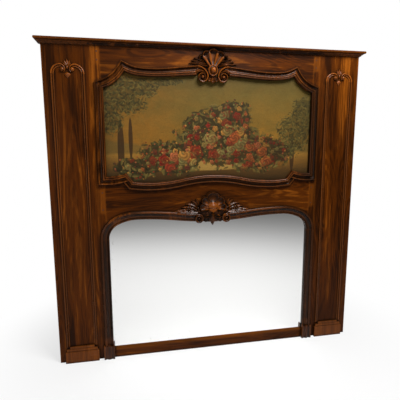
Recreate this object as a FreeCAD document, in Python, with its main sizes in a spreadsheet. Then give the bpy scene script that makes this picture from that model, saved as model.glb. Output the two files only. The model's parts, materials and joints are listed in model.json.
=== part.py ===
"""Trumeau mirror: a walnut overmantel with a painted panel above a mirror.

Frame of the part: X to the right, the front faces -Y, Z up, millimetres.
The origin is at the bottom centre of the overall box. "Proud" is a height above
the front face of the boards, measured towards -Y.
"""
import FreeCAD, Part
import Sketcher

import math
import os
from FreeCAD import Matrix, Placement, Rotation, Vector

LEFT, RIGHT = -1, 1
SIDE_NAME = {LEFT: "left", RIGHT: "right"}

document = FreeCAD.newDocument("trumeau_mirror")

# ---------------------------------------------------------------- driving dimensions

DIMENSIONS = (
    # carcass
    ("carcass_width", 1500),
    ("carcass_height", 1482),
    ("carcass_depth", 70),
    ("face_thickness", 22),
    ("relief_depth", 30),
    ("pilaster_width", 209),
    ("stile_width", 32),
    ("return_thickness", 20),
    ("top_board_thickness", 20),
    ("back_board_thickness", 10),
    ("back_strip_height", 80),
    ("back_board_count", 3),
    ("post_width", 60),
    ("post_setback", 6),
    ("batten_height", 80),
    ("batten_rise", 52),
    # joinery
    ("tenon_length", 24),
    ("tenon_thickness", 8),
    ("tenon_setback", 7),
    ("tenon_shoulder", 18),
    ("joint_clearance", 0.2),
    ("peg_radius", 4),
    ("nail_radius", 2),
    ("nail_length", 24),
    ("nail_edge_distance", 40),
    # cornice
    ("cornice_thickness", 12),
    ("cornice_overhang", 24),
    ("cornice_rounding", 5),
    ("cornice_moulding_height", 13),
    ("cornice_moulding_reach", 15),
    # bottom rail
    ("bottom_rail_height", 57),
    ("bottom_rail_arris", 47),
    ("glass_ledge", 40),
    # openings and what they hold
    ("lip_width", 11),
    ("rail_cover", 15),
    ("glazing_setback", 5),
    ("glazing_clearance", 1),
    ("glass_thickness", 5),
    ("panel_thickness", 8),
    ("glazing_block_length", 60),
    ("glazing_block_width", 12),
    # mirror frame, inner line of the moulding
    ("bend_step", 9),
    ("mirror_moulding_width", 41),
    ("mirror_moulding_relief", 15),
    ("crown_height", 690),
    ("crown_inset", 136),
    ("shoulder_drop", 90),
    ("saddle_drop", 23),
    # painting frame, inner line of the moulding
    ("painting_moulding_width", 38),
    ("painting_moulding_relief", 17),
    ("painting_bottom_gap", 207),
    ("bottom_horn_inset", 89),
    ("bottom_horn_rise", 15),
    ("bottom_step_inset", 120),
    ("bottom_step_drop", 25),
    ("bottom_sag_inset", 198),
    ("bottom_sag_drop", 31),
    ("bottom_crown_rise", 1),
    ("painting_top_margin", 127),
    ("top_corner_drop", 65),
    ("top_horn_inset", 94),
    ("top_horn_rise", 8),
    ("top_sag_inset", 208),
    ("top_sag_drop", 11.5),
    ("top_end_spread", 80),
    ("ear_bow_angle", 19.5),
    ("low_ear_bow_angle", 11),
    ("bottom_end_angle", 7),
    ("top_horn_angle", 26),
    ("top_end_angle", 2),
    # pilaster ornament
    ("ornament_margin", 33),
    ("pilaster_bead_width", 15),
    ("pilaster_bead_relief", 8),
    ("pilaster_spring_margin", 134),
    ("pilaster_curl_radius", 24),
    ("pilaster_curl_gap", 5.5),
    ("pilaster_ball_radius", 10),
    ("pilaster_drop_length", 18),
    ("pilaster_leaf_length", 30),
    # plinths and foot blocks
    ("plinth_margin", 26.5),
    ("plinth_height", 60),
    ("plinth_relief", 15),
    ("plinth_bevel", 6),
    ("cap_step_height", 10.5),
    ("cap_lower_relief", 13),
    ("cap_upper_relief", 10),
    ("cap_rounding", 3),
    ("foot_width", 50),
    ("foot_height", 68),
    ("foot_relief", 15),
    ("foot_face_relief", 20),
    ("foot_lobe_height", 7),
    # crest
    ("pearl_rise", 25),
    ("pearl_radius", 13),
    ("shell_reach", 96),
    ("shell_thickness", 12),
    ("crest_wing_reach", 118),
    ("crest_leaf_gap", 3),
    ("volute_spread", 49.5),
    ("volute_drop", 5),
    ("volute_radius", 24),
    ("volute_relief", 16),
    ("volute_gap", 2),
    ("volute_ball_radius", 9),
    # cartouche
    ("cartouche_rise", 85),
    ("cartouche_half_width", 64),
    ("cartouche_shell_reach", 63),
    ("cartouche_volute_spread", 71.5),
    ("cartouche_volute_rise", 18),
    ("cartouche_volute_radius", 24),
    ("cartouche_relief", 14),
    ("bowl_radius", 24),
    ("pendant_drop", 18),
    ("spray_reach", 192),
    ("spray_height", 64),
    ("spray_relief", 9),
    # hanging plates
    ("plate_length", 110),
    ("plate_height", 32),
    ("plate_thickness", 3),
    ("plate_hole_radius", 4.5),
    ("plate_hole_inset", 16),
    ("plate_nail_radius", 2),
    ("plate_nail_length", 18),
    ("plate_nail_head_radius", 4),
)

# places and widths that follow from the driving dimensions, as formulas of the sheet
DERIVED = (
    ("opening_half_width", "carcass_width / 2 - pilaster_width - stile_width"),
    ("sight_half_width", "opening_half_width - lip_width"),
    ("pilaster_centre", "carcass_width / 2 - pilaster_width / 2"),
    ("ornament_width", "pilaster_width - 2 * ornament_margin"),
    ("pilaster_arch_radius", "ornament_width / 2 - pilaster_curl_radius - pilaster_curl_gap"),
    ("plinth_width", "pilaster_width - 2 * plinth_margin"),
    ("foot_centre", "sight_half_width + mirror_moulding_width / 2"),
    ("crown_spread", "sight_half_width - crown_inset"),
    ("shoulder_height", "crown_height - shoulder_drop"),
    ("saddle_height", "crown_height - saddle_drop"),
    ("batten_bottom", "crown_height + batten_rise"),
    ("painting_bottom_corner", "crown_height + painting_bottom_gap"),
    ("bottom_horn_spread", "sight_half_width - bottom_horn_inset"),
    ("bottom_horn_height", "painting_bottom_corner + bottom_horn_rise"),
    ("bottom_step_spread", "sight_half_width - bottom_step_inset"),
    ("bottom_step_height", "painting_bottom_corner - bottom_step_drop"),
    ("bottom_sag_spread", "sight_half_width - bottom_sag_inset"),
    ("bottom_sag_height", "painting_bottom_corner - bottom_sag_drop"),
    ("bottom_crown_height", "painting_bottom_corner + bottom_crown_rise"),
    ("top_end_height", "carcass_height - painting_top_margin"),
    ("painting_top_corner", "top_end_height - top_corner_drop"),
    ("top_horn_spread", "sight_half_width - top_horn_inset"),
    ("top_horn_height", "top_end_height + top_horn_rise"),
    ("top_sag_spread", "sight_half_width - top_sag_inset"),
    ("top_sag_height", "top_end_height - top_sag_drop"),
    ("pilaster_spring_height", "carcass_height - pilaster_spring_margin"),
    ("pearl_height", "top_end_height + pearl_rise"),
    ("crest_leaf_height", "top_end_height + painting_moulding_width + crest_leaf_gap"),
    ("volute_height", "top_end_height - volute_drop"),
    ("cartouche_height", "saddle_height + cartouche_rise"),
    ("cartouche_volute_height", "saddle_height + cartouche_volute_rise"),
    ("pendant_tip_height", "saddle_height - pendant_drop"),
)

sheet = document.addObject("Spreadsheet::Sheet", "sizes")
cells = [(alias, str(value)) for alias, value in DIMENSIONS]
cells += [(alias, "=" + formula) for alias, formula in DERIVED]
for row, (alias, content) in enumerate(cells, start=1):
    sheet.set("A%d" % row, alias)
    sheet.set("B%d" % row, content)
    sheet.setAlias("B%d" % row, alias)
    document.recompute()

# the finished sub-parts, in the order they are built
finished = []


def size(alias):
    """A driving dimension as a plain number."""
    return float(getattr(sheet, alias))


def bind(thing, property_name, formula):
    """Bind a property to the sheet; words in the formula are aliases of the sheet."""
    words = formula.replace("(", "( ").replace(")", " )").split()
    names = [alias for alias, _ in cells]
    bound = ["sizes." + word if word in names else word for word in words]
    thing.setExpression(property_name, " ".join(bound))


def finish(thing, label):
    """Give a finished sub-part its own name."""
    thing.Label = label
    finished.append(thing)
    return thing


# ---------------------------------------------------------------- places worked out from the sheet

FACE = "( relief_depth - carcass_depth ) / 2"
BACK = "( relief_depth + carcass_depth ) / 2"
OPENING = "opening_half_width"

face_y = (size("relief_depth") - size("carcass_depth")) / 2
back_y = face_y + size("carcass_depth")
half_width = size("carcass_width") / 2
opening_half = size("opening_half_width")
sight_half = size("sight_half_width")
post_depth = size("carcass_depth") - size("face_thickness") - size("back_board_thickness")
total_height = size("carcass_height") + size("cornice_thickness")


# ---------------------------------------------------------------- flat outlines (x, z)

def polar(angle):
    """Unit vector at an angle in degrees, in the plane of the face."""
    return Vector(math.cos(math.radians(angle)), math.sin(math.radians(angle)), 0)


def bend(start, heading, end):
    """Corners of the straight runs that follow an arc from outside, and its last heading.

    The arc leaves start at a heading and reaches end. The first and last runs keep its headings.
    """
    chord = end - start
    bearing = math.degrees(math.atan2(chord.y, chord.x))
    half_turn = (bearing - heading + 180) % 360 - 180
    if abs(half_turn) < 0.05:
        return [], heading
    radius = chord.Length / 2 / math.sin(math.radians(half_turn))
    centre = start + polar(heading + 90) * radius
    count = max(1, round(abs(2 * half_turn) / size("bend_step")))
    step = 2 * half_turn / count
    reach = radius / math.cos(math.radians(step / 2))
    corners = [centre + polar(heading - 90 + (number + 0.5) * step) * reach for number in range(count)]
    return corners, heading + 2 * half_turn


def smooth_line(nodes):
    """Straight runs along tangent arcs through nodes (point, heading): a biarc for each stretch."""
    corners = [nodes[0][0]]
    for (start, heading), (end, last_heading) in zip(nodes, nodes[1:]):
        first = polar(heading)
        last = polar(last_heading)
        chord = end - start
        total = first + last
        square = 2 * (1 - first.dot(last))
        reach = chord.dot(total)
        if square < 1e-9:
            handle = chord.Length ** 2 / (4 * chord.dot(last))
        else:
            handle = (-reach + math.sqrt(reach ** 2 + square * chord.Length ** 2)) / square
        joint = (start + end + (first - last) * handle) / 2
        one, joint_heading = bend(start, heading, joint)
        two, _ = bend(joint, joint_heading, end)
        corners += one + two
    return corners + [nodes[-1][0]]


def open_line(points):
    """Straight edges through a row of points, leaving out repeated points and straight corners."""
    kept = points[:1]
    for point, after in zip(points[1:], points[2:] + [None]):
        if (point - kept[-1]).Length < 1e-4:
            continue
        if after is not None:
            turn = (point - kept[-1]).getAngle(after - point)
            if turn < 1e-5:
                continue
        kept.append(point)
    return [Part.LineSegment(one, two) for one, two in zip(kept, kept[1:])]


def mirrored(nodes, side):
    """Nodes drawn for the left side, put on the given side."""
    if side == LEFT:
        return nodes
    return [(Vector(-point.x, point.y, 0), 180 - heading) for point, heading in nodes]


def closed_outline(points):
    """Straight edges around a list of points."""
    return [Part.LineSegment(a, b) for a, b in zip(points, points[1:] + points[:1])]


# ---------------------------------------------------------------- feature helpers

def new_body(label, depth_formula=FACE):
    """A body whose XZ plane lies on the front face of the boards, or at another depth."""
    body = document.addObject("PartDesign::Body", label)
    bind(body, ".Placement.Base.y", depth_formula)
    return finish(body, label)


def new_sketch(body, name, role="XZ_Plane", offset=Placement()):
    """A sketch on one of the body's own origin planes."""
    sketch = body.newObject("Sketcher::SketchObject", body.Name + "_" + name)
    planes = [feature for feature in body.Origin.OriginFeatures if feature.Role == role]
    sketch.AttachmentSupport = [(planes[0], "")]
    sketch.MapMode = "FlatFace"
    sketch.AttachmentOffset = offset
    return sketch


def drawn_sketch(body, name, curves, role="XZ_Plane", offset=Placement()):
    """A sketch that holds the given curves."""
    sketch = new_sketch(body, name, role, offset)
    sketch.addGeometry(list(curves), False)
    return sketch


def rectangle_sketch(body, name, width, height, role="XZ_Plane", offset=Placement()):
    """A rectangle that stands on the sketch's X axis, centred on its Y axis, bound to the sheet."""
    sketch = new_sketch(body, name, role, offset)
    corners = [Vector(-40, 0, 0), Vector(40, 0, 0), Vector(40, 50, 0), Vector(-40, 50, 0)]
    sketch.addGeometry(closed_outline(corners), False)
    for line in range(4):
        sketch.addConstraint(Sketcher.Constraint("Coincident", line, 2, (line + 1) % 4, 1))
    sketch.addConstraint(Sketcher.Constraint("Horizontal", 2))
    sketch.addConstraint(Sketcher.Constraint("Vertical", 1))
    sketch.addConstraint(Sketcher.Constraint("Vertical", 3))
    sketch.addConstraint(Sketcher.Constraint("PointOnObject", 0, 1, -1))
    sketch.addConstraint(Sketcher.Constraint("Symmetric", 0, 1, 0, 2, -2))
    wide = sketch.addConstraint(Sketcher.Constraint("DistanceX", 0, 1, 0, 2, 80))
    tall = sketch.addConstraint(Sketcher.Constraint("DistanceY", 1, 1, 1, 2, 50))
    bind(sketch, "Constraints[%d]" % wide, width)
    bind(sketch, "Constraints[%d]" % tall, height)
    return sketch


def pad(body, sketch, length, backwards=False):
    """Pad a sketch; on the face plane a pad grows proud unless it goes backwards."""
    feature = body.newObject("PartDesign::Pad", sketch.Name + "_pad")
    feature.Profile = sketch
    feature.Reversed = backwards
    bind(feature, "Length", length)
    return feature


def pocket_through(body, sketch):
    """Cut a sketch right through the body, both ways."""
    feature = body.newObject("PartDesign::Pocket", sketch.Name + "_pocket")
    feature.Profile = sketch
    feature.Type = "ThroughAll"
    feature.Midplane = True
    return feature


def board(name, length, depth, height, x, y, z):
    """A squared board: three sizes, then its lowest left front corner, all formulas on the sheet."""
    box = document.addObject("Part::Box", name)
    bind(box, "Length", length)
    bind(box, "Width", depth)
    bind(box, "Height", height)
    bind(box, ".Placement.Base.x", x)
    bind(box, ".Placement.Base.y", y)
    bind(box, ".Placement.Base.z", z)
    return box


def left_edge(side, near, width):
    """Formula for the left edge of a board that starts at a distance from the centre."""
    return "%s" % near if side == RIGHT else "0 - ( %s ) - ( %s )" % (near, width)


def joined(name, shapes):
    """Several separate solids as one group."""
    group = document.addObject("Part::Feature", name)
    group.Shape = Part.makeCompound(shapes)
    return group


def fused(shapes):
    """One shape from shapes that overlap."""
    return shapes[0].multiFuse(shapes[1:]).removeSplitter()


def cut_away(label, base, tools):
    """A board with holes or mortises cut by other objects."""
    for number, tool in enumerate(tools, start=1):
        cut = document.addObject("Part::Cut", "%s_cut_%d" % (label, number))
        cut.Base = base
        cut.Tool = tool
        base = cut
    return finish(base, label)


def facet(corners):
    """A flat face with straight edges."""
    return Part.Face(Part.makePolygon(corners + corners[:1]))


def face_point(point, proud):
    """A point of a flat outline as a point in space, at a height above the face."""
    return Vector(point.x, face_y - proud, point.y)


def bead_row(points, steps=3):
    """Profile points (across, proud): a pair of equal ends is joined by a half-round bead."""
    row = []
    for start, rise, end in points:
        for step in range(steps + 1):
            angle = math.pi * step / steps
            across = (start[0] + end[0]) / 2 - math.cos(angle) * (end[0] - start[0]) / 2
            foot = start[1] + (end[1] - start[1]) * step / steps
            row.append((across, foot + rise * math.sin(angle)))
    return row


# ---------------------------------------------------------------- pegs, nails and other round pieces

def peg_places():
    """Where the rails are pegged: x distance from the centre and height."""
    x = opening_half + size("tenon_length") / 2
    heights = [size("bottom_rail_arris") / 2]
    heights += [size("batten_bottom"), size("batten_bottom") + size("batten_height")]
    heights += [size("carcass_height") - 2 * size("tenon_shoulder")]
    heights += [size("carcass_height") - 4 * size("tenon_shoulder")]
    return [(side * x, z) for side in (LEFT, RIGHT) for z in heights]


def faceted_rod(foot, along, length, radius, sides):
    """A straight rod with a regular many-sided section, as whittled or cut by hand."""
    across = Vector(0, 0, 1)
    other = along.cross(across)
    ring = []
    for corner in range(sides):
        angle = math.pi * (2 * corner + 1) / sides
        ring.append(foot + across * math.cos(angle) * radius + other * math.sin(angle) * radius)
    return Part.Face(Part.makePolygon(ring + ring[:1])).extrude(along * length)


def make_rail_pegs():
    """Six-sided pegs through the stiles and tenons, flush with the face."""
    pegs = []
    for x, z in peg_places():
        foot = Vector(x, face_y, z)
        pegs.append(faceted_rod(foot, Vector(0, 1, 0), size("face_thickness"), size("peg_radius"), 6))
    return finish(joined("rail_pegs", pegs), "rail_pegs")


def back_board_height():
    """Height of one back board: they share the back below the open strip at the top."""
    covered = size("carcass_height") - size("top_board_thickness") - size("back_strip_height")
    return covered / size("back_board_count")


def make_back_board_nails():
    """Square cut nails through the back boards into the inner posts and the side returns."""
    rows = (
        opening_half + size("post_setback") + size("post_width") / 2,
        half_width - size("return_thickness") / 2,
    )
    nails = []
    for number in range(int(size("back_board_count"))):
        low = number * back_board_height() + size("nail_edge_distance")
        high = (number + 1) * back_board_height() - size("nail_edge_distance")
        for x in (-rows[1], -rows[0], rows[0], rows[1]):
            for z in (low, high):
                top = Vector(x, back_y, z)
                nails.append(faceted_rod(top, Vector(0, -1, 0), size("nail_length"), size("nail_radius"), 4))
    return finish(joined("back_board_nails", nails), "back_board_nails")


# ---------------------------------------------------------------- face boards

def make_pilaster_board(side):
    name = "pilaster_board_" + SIDE_NAME[side]
    near = "carcass_width / 2 - pilaster_width"
    plank = board(name, "pilaster_width", "face_thickness", "carcass_height",
                  left_edge(side, near, "pilaster_width"), FACE, "0")
    return finish(plank, name)


def tenon_heights():
    """Lowest and highest z of the tenon of each rail."""
    shoulder = size("tenon_shoulder")
    return {
        "bottom": (shoulder / 2, size("glass_ledge") - shoulder / 2),
        "middle": (size("batten_bottom") - shoulder, size("batten_bottom") + size("batten_height") + shoulder),
        "top": (size("carcass_height") - 5 * shoulder, size("carcass_height") - shoulder),
    }


def tenon_shape(side, rail, slack):
    """The block of one tenon; slack makes it into the mortise."""
    low, high = tenon_heights()[rail]
    length = size("tenon_length") + slack
    depth = size("tenon_thickness") + 2 * slack
    near = opening_half if side == RIGHT else -opening_half - length
    corner = Vector(near, face_y + size("tenon_setback") - slack, low - slack)
    return Part.makeBox(length, depth, high - low + 2 * slack, corner)


def make_centre_stile(side, pegs):
    """Narrow stile beside the opening, with three mortises and its peg holes."""
    name = "centre_stile_" + SIDE_NAME[side]
    plank = board(name + "_blank", "stile_width", "face_thickness", "carcass_height",
                  left_edge(side, OPENING, "stile_width"), FACE, "0")
    slack = size("joint_clearance")
    mortises = joined(name + "_mortises", [tenon_shape(side, rail, slack) for rail in tenon_heights()])
    return cut_away(name, plank, [mortises, pegs])


def make_rail(rail, blank, pegs):
    """A rail: its shaped blank, a tenon on each end, and the peg holes."""
    name = rail + "_rail"
    tenons = joined(name + "_tenons", [tenon_shape(side, rail, 0) for side in (LEFT, RIGHT)])
    union = document.addObject("Part::MultiFuse", name + "_with_tenons")
    union.Shapes = [blank, tenons]
    return cut_away(name, union, [pegs])


def painting_bottom_points(cover, half):
    """Left half of the lower edge of the painting's opening, from the side to the centre."""
    return [
        Vector(-half, size("painting_bottom_corner") - cover, 0),
        Vector(-size("bottom_horn_spread") - cover / 3, size("bottom_horn_height") - cover, 0),
        Vector(-size("bottom_step_spread") - cover / 3, size("bottom_step_height") - cover, 0),
        Vector(-size("bottom_sag_spread"), size("bottom_sag_height") - cover, 0),
        Vector(0, size("bottom_crown_height") - cover, 0),
    ]


def painting_top_points(cover, half):
    """Left half of the upper edge of the painting's opening, from the side to the centre."""
    return [
        Vector(-half, size("painting_top_corner") + cover, 0),
        Vector(-size("top_horn_spread"), size("top_horn_height") + cover, 0),
        Vector(-size("top_sag_spread"), size("top_sag_height") + cover, 0),
        Vector(-size("top_end_spread"), size("top_end_height") + cover, 0),
        Vector(0, size("top_end_height") + cover, 0),
    ]


def mirror_top_points(cover, half):
    """Left half of the arched top of the mirror's opening, from the side to the centre."""
    shoulder_rise = size("crown_height") - size("shoulder_height")
    corner = half - size("lip_width") - (half - size("crown_spread")) / 3
    return [
        Vector(-half, size("shoulder_height") + shoulder_rise * 0.45 + cover - size("rail_cover"), 0),
        Vector(-corner, size("crown_height") - size("rail_cover") / 2 + cover, 0),
        Vector(-size("crown_spread"), size("crown_height") + cover, 0),
        Vector(0, size("saddle_height") + cover, 0),
    ]


def both_halves(points):
    """A left half that ends at the centre, and its mirror image."""
    return points + [Vector(-p.x, p.y, 0) for p in reversed(points[:-1])]


def make_top_rail(pegs):
    body = document.addObject("PartDesign::Body", "top_rail_blank")
    bind(body, ".Placement.Base.y", FACE)
    lower_edge = both_halves(painting_top_points(size("rail_cover"), opening_half))
    top = size("carcass_height")
    outline = lower_edge + [Vector(opening_half, top, 0), Vector(-opening_half, top, 0)]
    sketch = drawn_sketch(body, "outline", closed_outline(outline))
    pad(body, sketch, "face_thickness", backwards=True)
    return make_rail("top", body, pegs)


def make_middle_rail(pegs):
    body = document.addObject("PartDesign::Body", "middle_rail_blank")
    bind(body, ".Placement.Base.y", FACE)
    upper_edge = both_halves(painting_bottom_points(size("rail_cover"), opening_half))
    lower_edge = both_halves(mirror_top_points(size("rail_cover"), opening_half))
    sketch = drawn_sketch(body, "outline", closed_outline(upper_edge + lower_edge[::-1]))
    pad(body, sketch, "face_thickness", backwards=True)
    return make_rail("middle", body, pegs)


def make_bottom_rail(pegs):
    """Rail below the mirror: a bevelled front edge and a ledge behind it for the glass."""
    body = document.addObject("PartDesign::Body", "bottom_rail_blank")
    bind(body, ".Placement.Base.y", FACE)
    setback = size("glazing_setback")
    section = [
        Vector(0, 0, 0),
        Vector(size("face_thickness"), 0, 0),
        Vector(size("face_thickness"), size("glass_ledge"), 0),
        Vector(setback, size("glass_ledge"), 0),
        Vector(setback, size("bottom_rail_height"), 0),
        Vector(0, size("bottom_rail_arris"), 0),
    ]
    sketch = drawn_sketch(body, "section", closed_outline(section), role="YZ_Plane")
    feature = pad(body, sketch, "2 * " + OPENING)
    feature.Midplane = True
    return make_rail("bottom", body, pegs)


# ---------------------------------------------------------------- carcass behind the face

def make_side_return(side, nails):
    name = "side_return_" + SIDE_NAME[side]
    near = "carcass_width / 2 - return_thickness"
    plank = board(name + "_blank", "return_thickness", "carcass_depth - face_thickness", "carcass_height",
                  left_edge(side, near, "return_thickness"), FACE + " + face_thickness", "0")
    rebate = board(name + "_rebate", "return_thickness / 2", "back_board_thickness",
                   "carcass_height - top_board_thickness - back_strip_height",
                   left_edge(side, near, "return_thickness / 2"), BACK + " - back_board_thickness", "0")
    return cut_away(name, plank, [rebate, nails])


def make_inner_post(side, nails, plate_nails):
    name = "inner_post_" + SIDE_NAME[side]
    plank = board(name + "_blank", "post_width",
                  "carcass_depth - face_thickness - back_board_thickness",
                  "carcass_height - top_board_thickness",
                  left_edge(side, OPENING + " + post_setback", "post_width"),
                  FACE + " + face_thickness", "0")
    return cut_away(name, plank, [nails, plate_nails])


def make_top_board():
    plank = board("top_board", "carcass_width - 2 * return_thickness", "carcass_depth - face_thickness",
                  "top_board_thickness", "return_thickness - carcass_width / 2",
                  FACE + " + face_thickness", "carcass_height - top_board_thickness")
    return finish(plank, "top_board")


def make_middle_batten():
    half = "( " + OPENING + " + post_setback )"
    plank = board("middle_batten", "2 * " + half, "carcass_depth - face_thickness - back_board_thickness",
                  "batten_height", "0 - " + half, FACE + " + face_thickness", "batten_bottom")
    return finish(plank, "middle_batten")


def make_back_boards(nails):
    """Horizontal boards let into the rebates of the side returns."""
    height = "( carcass_height - top_board_thickness - back_strip_height ) / back_board_count"
    for number in range(int(size("back_board_count"))):
        name = "back_board_%d" % (number + 1)
        plank = board(name + "_blank", "carcass_width - return_thickness", "back_board_thickness", height,
                      "return_thickness / 2 - carcass_width / 2", BACK + " - back_board_thickness",
                      "%d * %s" % (number, height))
        cut_away(name, plank, [nails])


# ---------------------------------------------------------------- hanging plates

def plate_y():
    """Front face of the hanging plates: the back of the inner posts."""
    return face_y + size("face_thickness") + post_depth


def plate_height_z():
    """Middle height of the plates: half way up the open strip."""
    return size("carcass_height") - size("top_board_thickness") - size("back_strip_height") / 2


def plate_near():
    """Distance of a plate's inner end from the centre."""
    return opening_half + size("post_setback") + size("plate_nail_head_radius")


def plate_nail_places():
    """Two nails in each plate, over the inner post."""
    first = plate_near() + 2.5 * size("plate_nail_head_radius")
    last = opening_half + size("post_setback") + size("post_width") - 2.5 * size("plate_nail_head_radius")
    return [(side * x, plate_height_z()) for side in (LEFT, RIGHT) for x in (first, last)]


def make_plate_nails():
    """Forged nails: a square shank and a low square head, let into the back of the plates."""
    nails = []
    inward = Vector(0, -1, 0)
    for x, z in plate_nail_places():
        top = Vector(x, plate_y() + size("plate_thickness"), z)
        head = faceted_rod(top, inward, size("plate_thickness") / 2, size("plate_nail_head_radius"), 4)
        shank = faceted_rod(top, inward, size("plate_nail_length"), size("plate_nail_radius"), 4)
        nails.append(head.fuse(shank).removeSplitter())
    return finish(joined("plate_nails", nails), "plate_nails")


def make_hanging_plates(nails):
    """Iron plates with cut corners; the outer end stands over the open space behind the pilaster."""
    plates = []
    half = size("plate_height") / 2
    cut = half * 0.6
    for side in (LEFT, RIGHT):
        near = plate_near()
        far = near + size("plate_length")
        z = plate_height_z()
        outline = []
        for x, way in ((near, 1), (far, -1)):
            outline += [Vector(side * x, plate_y(), z - way * (half - cut)),
                        Vector(side * x, plate_y(), z + way * (half - cut)),
                        Vector(side * (x + way * cut), plate_y(), z + way * half),
                        Vector(side * (x + size("plate_length") * way - way * cut), plate_y(), z + way * half)]
        plate = Part.Face(Part.makePolygon(outline + outline[:1])).extrude(Vector(0, size("plate_thickness"), 0))
        hole_x = side * (far - size("plate_hole_inset"))
        hole = Part.makeCylinder(size("plate_hole_radius"), 3 * size("plate_thickness"),
                                 Vector(hole_x, plate_y() - size("plate_thickness"), z),
                                 Vector(0, 1, 0))
        plates.append(plate.cut(hole))
    blank = joined("hanging_plates_blank", plates)
    return cut_away("hanging_plates", blank, [nails])


# ---------------------------------------------------------------- cornice

def make_cornice_board():
    """The board on top, with a rounded nose on its front and sides."""
    body = new_body("cornice_board", "0")
    offset = Placement(Vector(0, 0, size("carcass_height")), Rotation())
    overhang = size("cornice_overhang")
    x = half_width + overhang
    front = face_y - overhang
    corners = [Vector(-x, front, 0), Vector(x, front, 0), Vector(x, back_y, 0), Vector(-x, back_y, 0)]
    sketch = drawn_sketch(body, "outline", closed_outline(corners), role="XY_Plane", offset=offset)
    slab = pad(body, sketch, "cornice_thickness")
    document.recompute()
    nose = []
    for number, edge in enumerate(slab.Shape.Edges, start=1):
        centre = edge.CenterOfMass
        on_back = abs(centre.y - back_y) < 0.01
        upright = edge.BoundBox.ZLength > 0.01
        if not on_back and not upright:
            nose.append("Edge%d" % number)
    rounding = body.newObject("PartDesign::Fillet", "cornice_board_nose")
    rounding.Base = (slab, nose)
    bind(rounding, "Radius", "cornice_rounding")
    return body


def cornice_section():
    """Ovolo, fillet and cove under the cornice board: (out from the face, up)."""
    reach = size("cornice_moulding_reach")
    height = size("cornice_moulding_height")
    low = size("carcass_height") - height
    points = [Vector(0, low, 0), Vector(reach * 0.16, low, 0), Vector(reach * 0.2, low + height * 0.15, 0)]
    for step in range(1, 5):
        angle = math.radians(90 * step / 4)
        across = reach * (0.2 + 0.35 * math.sin(angle))
        points.append(Vector(across, low + height * (0.15 + 0.4 * (1 - math.cos(angle))), 0))
    points.append(Vector(reach * 0.72, low + height * 0.6, 0))
    points.append(Vector(reach, low + height * 0.85, 0))
    points.append(Vector(reach, low + height, 0))
    points.append(Vector(0, low + height, 0))
    return points


def make_cornice_mouldings():
    """Moulding under the cornice board: a front length and two side lengths, mitred together."""
    reach = size("cornice_moulding_reach")
    front_edge = face_y - reach
    body = new_body("cornice_moulding_front", "0")
    section = [Vector(face_y - p.x, p.y, 0) for p in cornice_section()]
    sketch = drawn_sketch(body, "section", closed_outline(section), role="YZ_Plane")
    length = pad(body, sketch, "carcass_width + 2 * cornice_moulding_reach")
    length.Midplane = True
    for side in (LEFT, RIGHT):
        corner = Vector(side * half_width, face_y, 0)
        tip = Vector(side * (half_width + reach), front_edge, 0)
        past = Vector(side * (half_width + 2 * reach), face_y, 0)
        beyond = tip + (tip - corner)
        outline = closed_outline([corner, beyond, past])
        pocket_through(body, drawn_sketch(body, "mitre_" + SIDE_NAME[side], outline, role="XY_Plane"))

    for side in (LEFT, RIGHT):
        body = new_body("cornice_moulding_" + SIDE_NAME[side], "0")
        section = [Vector(side * (half_width + p.x), p.y, 0) for p in cornice_section()]
        offset = Placement(Vector(0, 0, -back_y), Rotation())
        sketch = drawn_sketch(body, "section", closed_outline(section), offset=offset)
        pad(body, sketch, "carcass_depth + cornice_moulding_reach")
        corner = Vector(side * half_width, face_y, 0)
        tip = Vector(side * (half_width + reach), front_edge, 0)
        beyond = tip + (tip - corner)
        before = Vector(side * (half_width - reach), front_edge - reach, 0)
        outline = closed_outline([corner, beyond, before])
        pocket_through(body, drawn_sketch(body, "mitre", outline, role="XY_Plane"))


# ---------------------------------------------------------------- mitred mouldings of the two frames

def mirror_profile(width):
    """Section of the mirror's moulding (across from the inner line, proud)."""
    relief = size("mirror_moulding_relief")
    row = bead_row([((0, 5), relief * 0.25, (width * 0.17, 5))])
    row += [(width * 0.23, 2.5), (width * 0.37, 3), (width * 0.52, relief * 0.35), (width * 0.64, relief * 0.62)]
    row += bead_row([((width * 0.68, relief * 0.62), relief * 0.38, (width, relief * 0.5))])
    return row


def painting_profile(width):
    """Section of the painting's moulding (across from the inner line, proud)."""
    relief = size("painting_moulding_relief")
    row = bead_row([((0, relief * 0.5), relief * 0.34, (width * 0.2, relief * 0.72))])
    row += bead_row([((width * 0.23, relief * 0.76), relief * 0.24, (width * 0.42, relief * 0.7))])
    row += [(width * 0.46, relief * 0.42), (width * 0.58, relief * 0.2), (width * 0.72, relief * 0.28)]
    row += bead_row([((width * 0.8, relief * 0.5), relief * 0.3, (width, relief * 0.45))])
    return row


def profile_outline(row, width, lip_depth):
    """A closed section: the shaped front, the seat on the board and the lip over the opening."""
    lip = min(size("lip_width"), width / 3)
    points = [(0, -lip_depth)] + row + [(width, 0), (lip, 0), (lip, -lip_depth)]
    return closed_outline([Vector(across, proud, 0) for across, proud in points])


def section_placement(point, heading, outward_turn):
    """Places a section square to a line: across points outwards, proud points to the front."""
    across = polar(heading + outward_turn)
    proud = Vector(0, 0, 1)
    along = across.cross(proud)
    matrix = Matrix(across.x, proud.x, along.x, 0, across.y, proud.y, along.y, 0,
                    across.z, proud.z, along.z, 0, 0, 0, 0, 1)
    return Placement(point, Rotation(matrix))


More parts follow.
